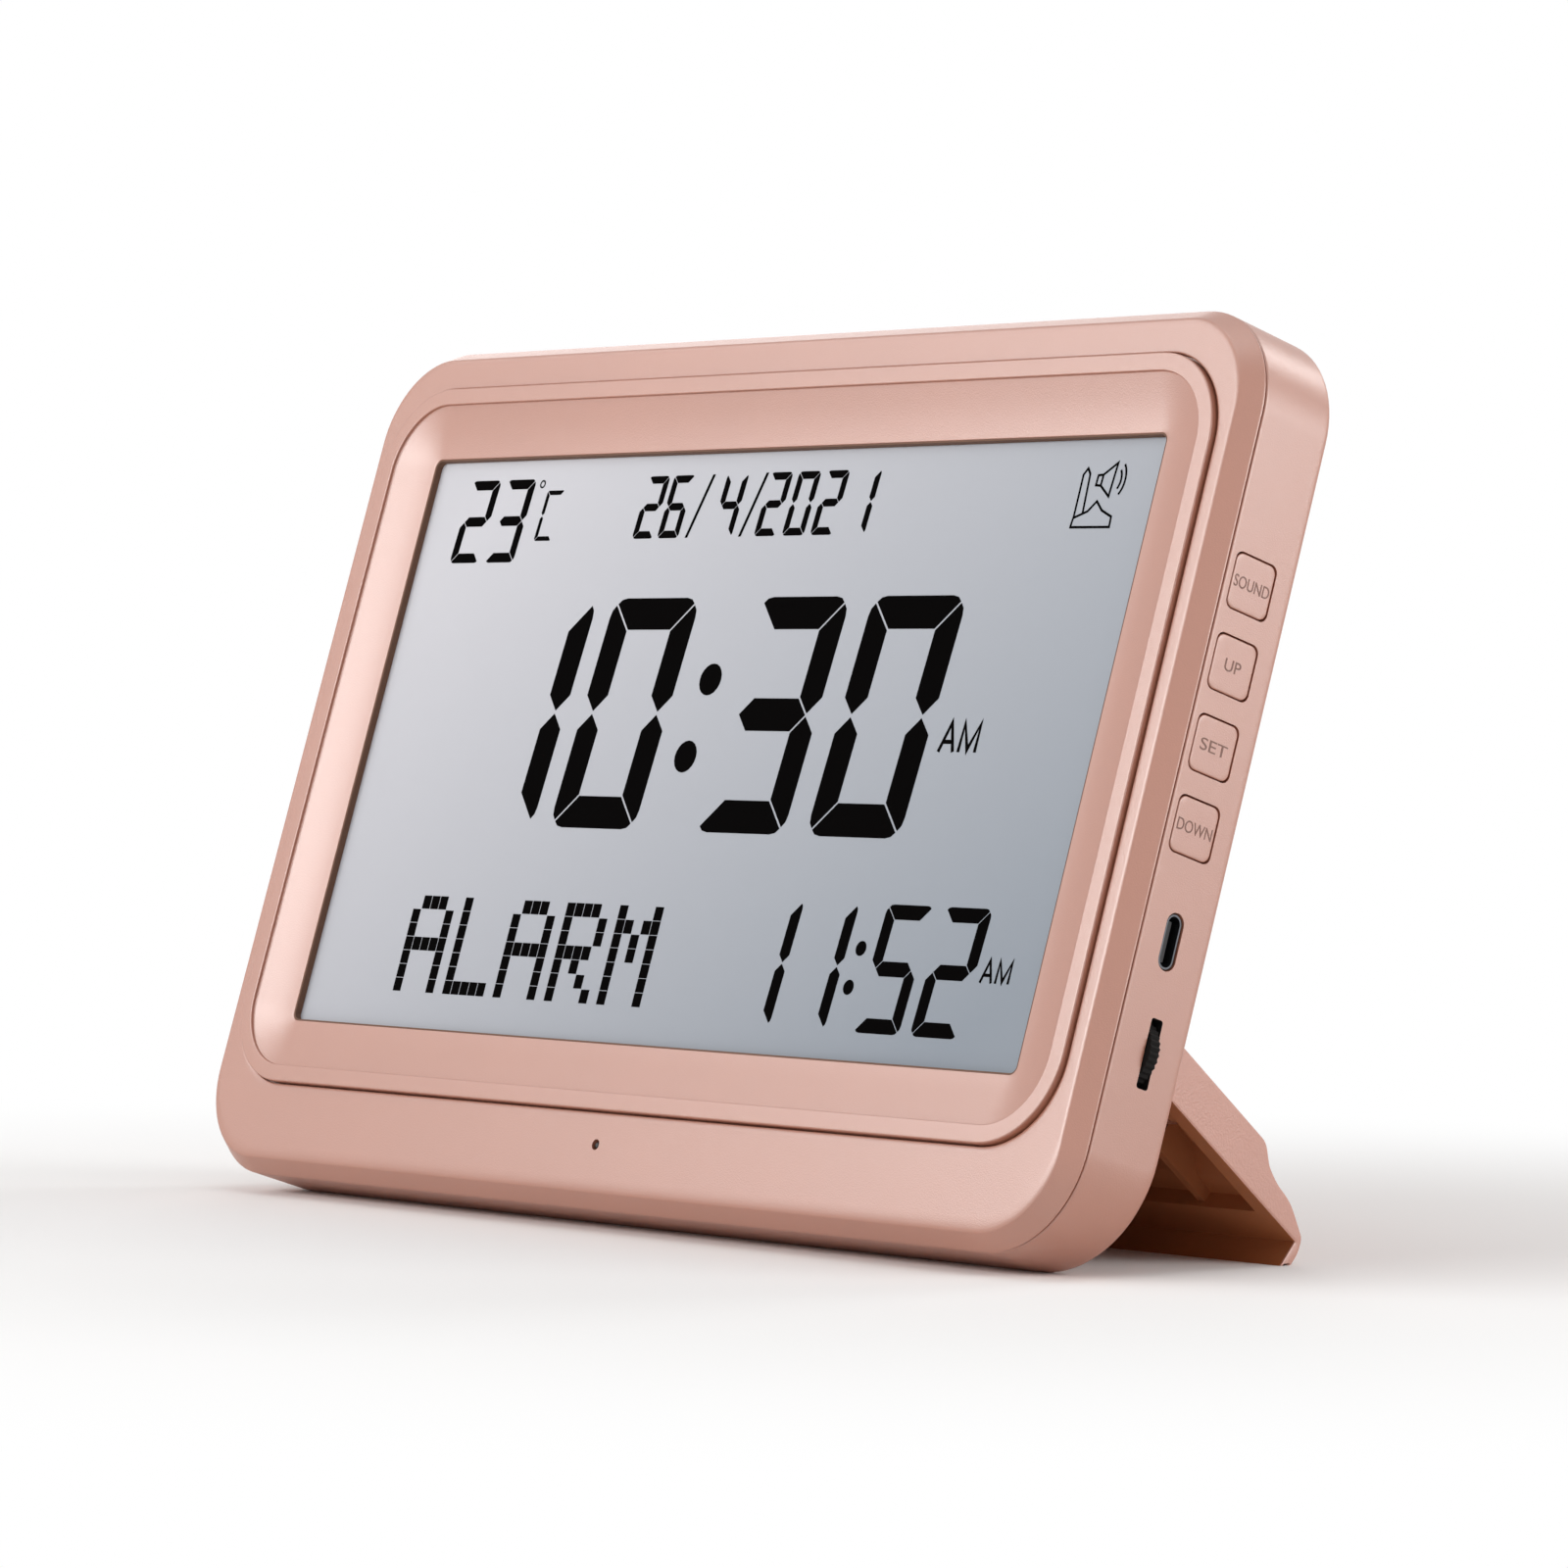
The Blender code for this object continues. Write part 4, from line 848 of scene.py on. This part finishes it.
# %% Shape the screws
levels = [
    (1.3, 3.7, 0), (1.3, 16.3, 0), (2.6, 16.3, 0), (2.6, 17.35, 0.3), (1.7, 17.8, 0.5), (0.6, 17.8, 0)
]
for index, (across, up_face) in enumerate(screw_places, start=1):
    sections = []
    for radius, depth, soft in in_mm(levels):
        sections.append((centred(radius, radius, radius, across, up_face), depth, soft))
    cross = []
    for half_across, half_up in ((1.5, 0.28), (0.28, 1.5)):
        low = (across - half_across * mm, 16.9 * mm, up_face - half_up * mm)
        high = (across + half_across * mm, 18.5 * mm, up_face + half_up * mm)
        cross.append(("DIFFERENCE", box_shape(low, high)))
    name = f"housing_screw_{index}"
    piece(f"{name}_cross", skin(sections, steps=8), bright_steel, name, changes=cross)

# %% [markdown]
# ## Display segments
# The digits are seven-segment figures: each segment ends in a mitre, and the outer corners
# are rounded off. They are drawn as thin plates a few hundredths of a millimetre thick, as
# real shapes stay crisp at any distance.

# %% Draw seven-segment figures
glass = glass_depth / mm
figures_shift = (-0.6, 0.15)
film_height, film_sink = 0.04, 0.01
lit = {
    "0": "abcdef", "1": "bc", "2": "abged", "3": "abgcd", "4": "fgbc", "5": "afgcd",
    "6": "afgedc", "7": "abc", "8": "abcdefg", "9": "abcdfg",
}


def segments(width, height, bar, gap):
    """The seven segments of a figure as outlines in a cell of that width and height."""
    cut, half, middle = bar * 0.62, bar / 2, height / 2
    nook, near, far = cut * 0.293, cut * 0.076, cut * 0.617
    top = [
        (bar + gap, height - bar), (nook + gap, height - nook), (far, height - near), (cut, height),
        (width - cut, height), (width - far, height - near), (width - nook - gap, height - nook),
        (width - bar - gap, height - bar),
    ]
    left = [
        (bar, height - bar - gap), (nook, height - nook - gap), (near, height - far), (0, height - cut),
        (0, middle + half + gap), (half, middle + gap), (bar, middle + half + gap),
    ]
    centre = [
        (half + gap, middle), (bar + gap, middle + half), (width - bar - gap, middle + half),
        (width - half - gap, middle), (width - bar - gap, middle - half), (bar + gap, middle - half),
    ]
    right = [(width - across, up) for across, up in left]
    return {
        "a": top, "f": left, "b": right, "g": centre,
        "d": [(across, height - up) for across, up in top],
        "e": [(across, height - up) for across, up in left],
        "c": [(across, height - up) for across, up in right],
    }


def round_spot(across, up, radius, steps=20):
    """A round dot as an outline."""
    angles = [2 * math.pi * step / steps for step in range(steps)]
    return [(across + radius * math.cos(a), up + radius * math.sin(a)) for a in angles]


def shifted(outline, across, up, slant=0.0):
    """The outline moved to a place on the face and slanted to the right."""
    return [(x + across + slant * y, y + up) for x, y in outline]


def on_face(across, up, out):
    """A point on the face, out of it by so much, in millimetres."""
    return Vector((across + figures_shift[0], glass - out, up + figures_shift[1])) * mm


def on_side(across, up, out):
    """A point on the right side wall: across to the rear, up, and out of the wall."""
    return Vector((117.5 + out, across, up)) * mm


def thin_piece(name, shape, material, body):
    """A shape drawn in the clock's own frame, as a piece that needs no further change."""
    bmesh.ops.recalc_face_normals(shape, faces=shape.faces)
    mesh = bpy.data.meshes.new(name)
    shape.to_mesh(mesh)
    shape.free()
    mesh.materials.append(material)
    mesh.transform(clock_frame)
    item = bpy.data.objects.new(name, mesh)
    bpy.context.scene.collection.objects.link(item)
    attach(item, body)


def inlay(name, outlines, material):
    """Thin plates of these outlines that lie on the glass, in one piece."""
    shape = bmesh.new()
    for outline in outlines:
        low = [shape.verts.new(on_face(x, y, -film_sink)) for x, y in outline]
        high = [shape.verts.new(on_face(x, y, film_height)) for x, y in outline]
        shape.faces.new(low)
        shape.faces.new(high)
        for index in range(len(low)):
            after = (index + 1) % len(low)
            shape.faces.new((low[index], low[after], high[after], high[index]))
    thin_piece(name, shape, material, "clock_body")


def figures(places, width, height, bar, gap, bottom, slant):
    """Outlines for figures given as pairs of a character and the left edge of its cell."""
    cell = segments(width, height, bar, gap)
    drawn = []
    for character, left in places:
        offset = left - slant * height / 2
        drawn += [shifted(cell[letter], offset, bottom, slant) for letter in lit[character]]
    return drawn


slant = 0.06
time_shapes = figures(
    (("1", -66.1), ("0", -37.1), ("3", 3.4), ("0", 33.4)), 24.05, 42.4, 5.85, 0.28, 66.95, slant
)
time_shapes += [round_spot(-3.5, 94.4, 2.9), round_spot(-5.1, 80.4, 2.9)]
inlay("display_time", time_shapes, ink)

alarm_shapes = figures(
    (("1", 23.9), ("1", 38.1), ("5", 56.9), ("2", 71.3)), 11.6, 22.0, 2.55, 0.14, 33.75, slant
)
alarm_shapes += [round_spot(53.4, 48.0, 1.3), round_spot(52.6, 41.3, 1.3)]
inlay("display_alarm_time", alarm_shapes, ink)

date_cells = (("2", -35.2), ("6", -28.1), ("4", -13.2), ("2", -1.2), ("0", 6.4), ("2", 14.0), ("1", 22.5))
date_shapes = figures(date_cells, 5.9, 11.7, 1.4, 0.1, 120.5, slant)
for low, high in ((-20.6, -16.6), (-5.8, -1.9)):
    date_shapes.append([(low, 120.5), (low + 0.7, 120.5), (high + 0.35, 132.2), (high - 0.35, 132.2)])
inlay("display_date", date_shapes, ink)

warm_shapes = figures((("2", -87.5), ("3", -76.9)), 8.6, 15.9, 1.85, 0.12, 116.5, slant)
c_cell = segments(5.0, 9.6, 0.85, 0.1)
warm_shapes += [shifted(c_cell[letter], -64.2, 120.5, slant) for letter in "aefd"]
inlay("display_temperature", warm_shapes, ink)
print("time row", len(time_shapes), "plates")

# %% [markdown]
# ## Dot-matrix word and small marks
# The lower left holds five letters on a grid of five by seven dots. Each dot is a small
# rectangle with a hair of space round it, so the grid shows as it does on a real display.

# %% Draw the word on its dot grid
letter_rows = {
    "A": (".###.", "#...#", "#...#", "#####", "#...#", "#...#", "#...#"),
    "L": ("#....", "#....", "#....", "#....", "#....", "#....", "#####"),
    "R": ("####.", "#...#", "#...#", "####.", "#.#..", "#..#.", "#...#"),
    "M": ("#...#", "##.##", "#.#.#", "#.#.#", "#...#", "#...#", "#...#"),
}
dot_pitch, row_pitch, letter_pitch = 2.45, 2.57, 14.8
dots = []
for index, letter in enumerate("ALARM"):
    for row, line in enumerate(letter_rows[letter]):
        for column, mark in enumerate(line):
            if mark == "#":
                left = -71.8 + index * letter_pitch + column * dot_pitch
                low = 53.35 - (row + 1) * row_pitch
                dots.append([(left, low + 0.12), (left + 2.25, low + 0.12), (left + 2.25, low + row_pitch),
                             (left, low + row_pitch)])
inlay("display_alarm_word", dots, ink)
print("dots", len(dots))


# %% [markdown]
# The words on the buttons get their shape from a font. The font object is turned into a
# mesh and stretched to fit its place.

# %% Set the words on the buttons
def lettering(text):
    """A text's filled outline as a flat mesh with its corner at the origin, 1 high."""
    data = bpy.data.curves.new(text, "FONT")
    data.body = text
    guide = bpy.data.objects.new(text, data)
    bpy.context.scene.collection.objects.link(guide)
    graph = bpy.context.evaluated_depsgraph_get()
    mesh = bpy.data.meshes.new_from_object(guide.evaluated_get(graph))
    bpy.data.objects.remove(guide)
    spots = [vertex.co for vertex in mesh.vertices]
    low = Vector([min(spot[axis] for spot in spots) for axis in range(2)])
    high = Vector([max(spot[axis] for spot in spots) for axis in range(2)])
    for vertex in mesh.vertices:
        vertex.co.x = (vertex.co.x - low.x) / (high.x - low.x)
        vertex.co.y = (vertex.co.y - low.y) / (high.y - low.y)
    return mesh


def word(name, text, corner, size, material, place, body):
    """A word in a box of that size, its lower left corner given, as a thin plate."""
    flat = lettering(text)
    shape = bmesh.new()
    shape.from_mesh(flat)
    bmesh.ops.remove_doubles(shape, verts=shape.verts, dist=0.0001)
    for vertex in shape.verts:
        across, up = corner[0] + vertex.co.x * size[0], corner[1] + vertex.co.y * size[1]
        vertex.co = place(across, up, -film_sink)
    raised = bmesh.ops.extrude_face_region(shape, geom=shape.faces[:])["geom"]
    upper = [part for part in raised if isinstance(part, bmesh.types.BMVert)]
    bmesh.ops.translate(shape, vec=place(0, 0, film_height) - place(0, 0, -film_sink), verts=upper)
    thin_piece(name, shape, material, body)


button_print = finish("button_print", (120, 84, 72), 0.5)
for body, text, height, half in (
    ("button_sound", "SOUND", 112.9, 4.0), ("button_up", "UP", 99.4, 1.8),
    ("button_set", "SET", 85.9, 3.0), ("button_down", "DOWN", 72.4, 3.9),
):
    word(f"{body}_label", text, (10.15 - half, height - 1.0), (2 * half, 2.0), button_print, on_side, body)

# %% [markdown]
# ## Alarm sign and half-day marks
# The sign at the upper right is a line drawing: a domed roof with a tower, and a horn with
# two sound waves. A line is a ribbon of even width whose corners are mitred. The half-day
# marks are two letters drawn with the same ribbons.

# %% Draw the sign, the degree ring and the half-day marks
def ribbon(points, width, closed=False):
    """Four-sided outlines that follow a line through these points, corners mitred."""
    edges = []
    count = len(points)
    for index, (x, y) in enumerate(points):
        before = points[index - 1] if closed or index else None
        after = points[(index + 1) % count] if closed or index < count - 1 else None
        runs = []
        for start, end in ((before, (x, y)), ((x, y), after)):
            if start and end:
                runs.append(Vector((end[0] - start[0], end[1] - start[1])).normalized())
        normals = [Vector((-run.y, run.x)) for run in runs]
        mitre = sum(normals, Vector((0, 0))).normalized()
        mitre *= width / 2 / max(0.4, mitre.dot(normals[0]))
        edges.append(((x + mitre.x, y + mitre.y), (x - mitre.x, y - mitre.y)))
    pairs = zip(edges, edges[1:] + (edges[:1] if closed else []))
    return [[first[0], second[0], second[1], first[1]] for first, second in pairs]


line = 0.42
roof = [
    (79.9, 120.9), (89.3, 120.8), (89.2, 122.6), (86.6, 123.7), (84.9, 125.3), (83.2, 123.6), (80.1, 122.5)
]
tower = [(80.15, 122.5), (80.1, 130.0), (80.9, 131.1), (81.7, 130.1), (82.1, 123.2)]
horn = [(83.7, 128.1), (83.8, 129.8), (85.0, 129.9), (87.9, 131.9), (87.4, 126.1), (84.9, 128.0)]
sign_shapes = ribbon(roof, line, closed=True) + ribbon(tower, line) + ribbon(horn, line, closed=True)
sign_shapes += ribbon([(85.0, 129.8), (84.9, 128.1)], line)
for radius, half in ((1.9, 0.75), (2.9, 0.8)):
    angles = [half * step / 4 for step in range(-4, 5)]
    arc = [(87.6 + radius * math.cos(angle), 129.0 + radius * math.sin(angle) * 1.25) for angle in angles]
    sign_shapes += ribbon(arc, line)
inlay("display_alarm_sign", sign_shapes, ink)
inlay("display_degree_ring", ribbon(round_spot(-65.7, 131.4, 0.65, 12), 0.3, closed=True), ink)
letter_lines = (
    [(0.25, 0), (2.15, 5.1), (3.85, 0)], [(0.85, 1.75), (3.3, 1.75)],
    [(5.2, 0), (5.45, 5.0), (7.3, 0.4), (9.4, 5.0), (9.3, 0)],
)
half_day_marks = (("display_half_day", 60.4, 82.1, 1.0), ("display_alarm_half_day", 84.3, 43.4, 0.745))
for name, left, low, size in half_day_marks:
    strokes = []
    for points in letter_lines:
        strokes += ribbon([(left + x * size, low + y * size) for x, y in points], 0.72 * size)
    inlay(name, strokes, ink)
print("sign", len(sign_shapes), "plates")
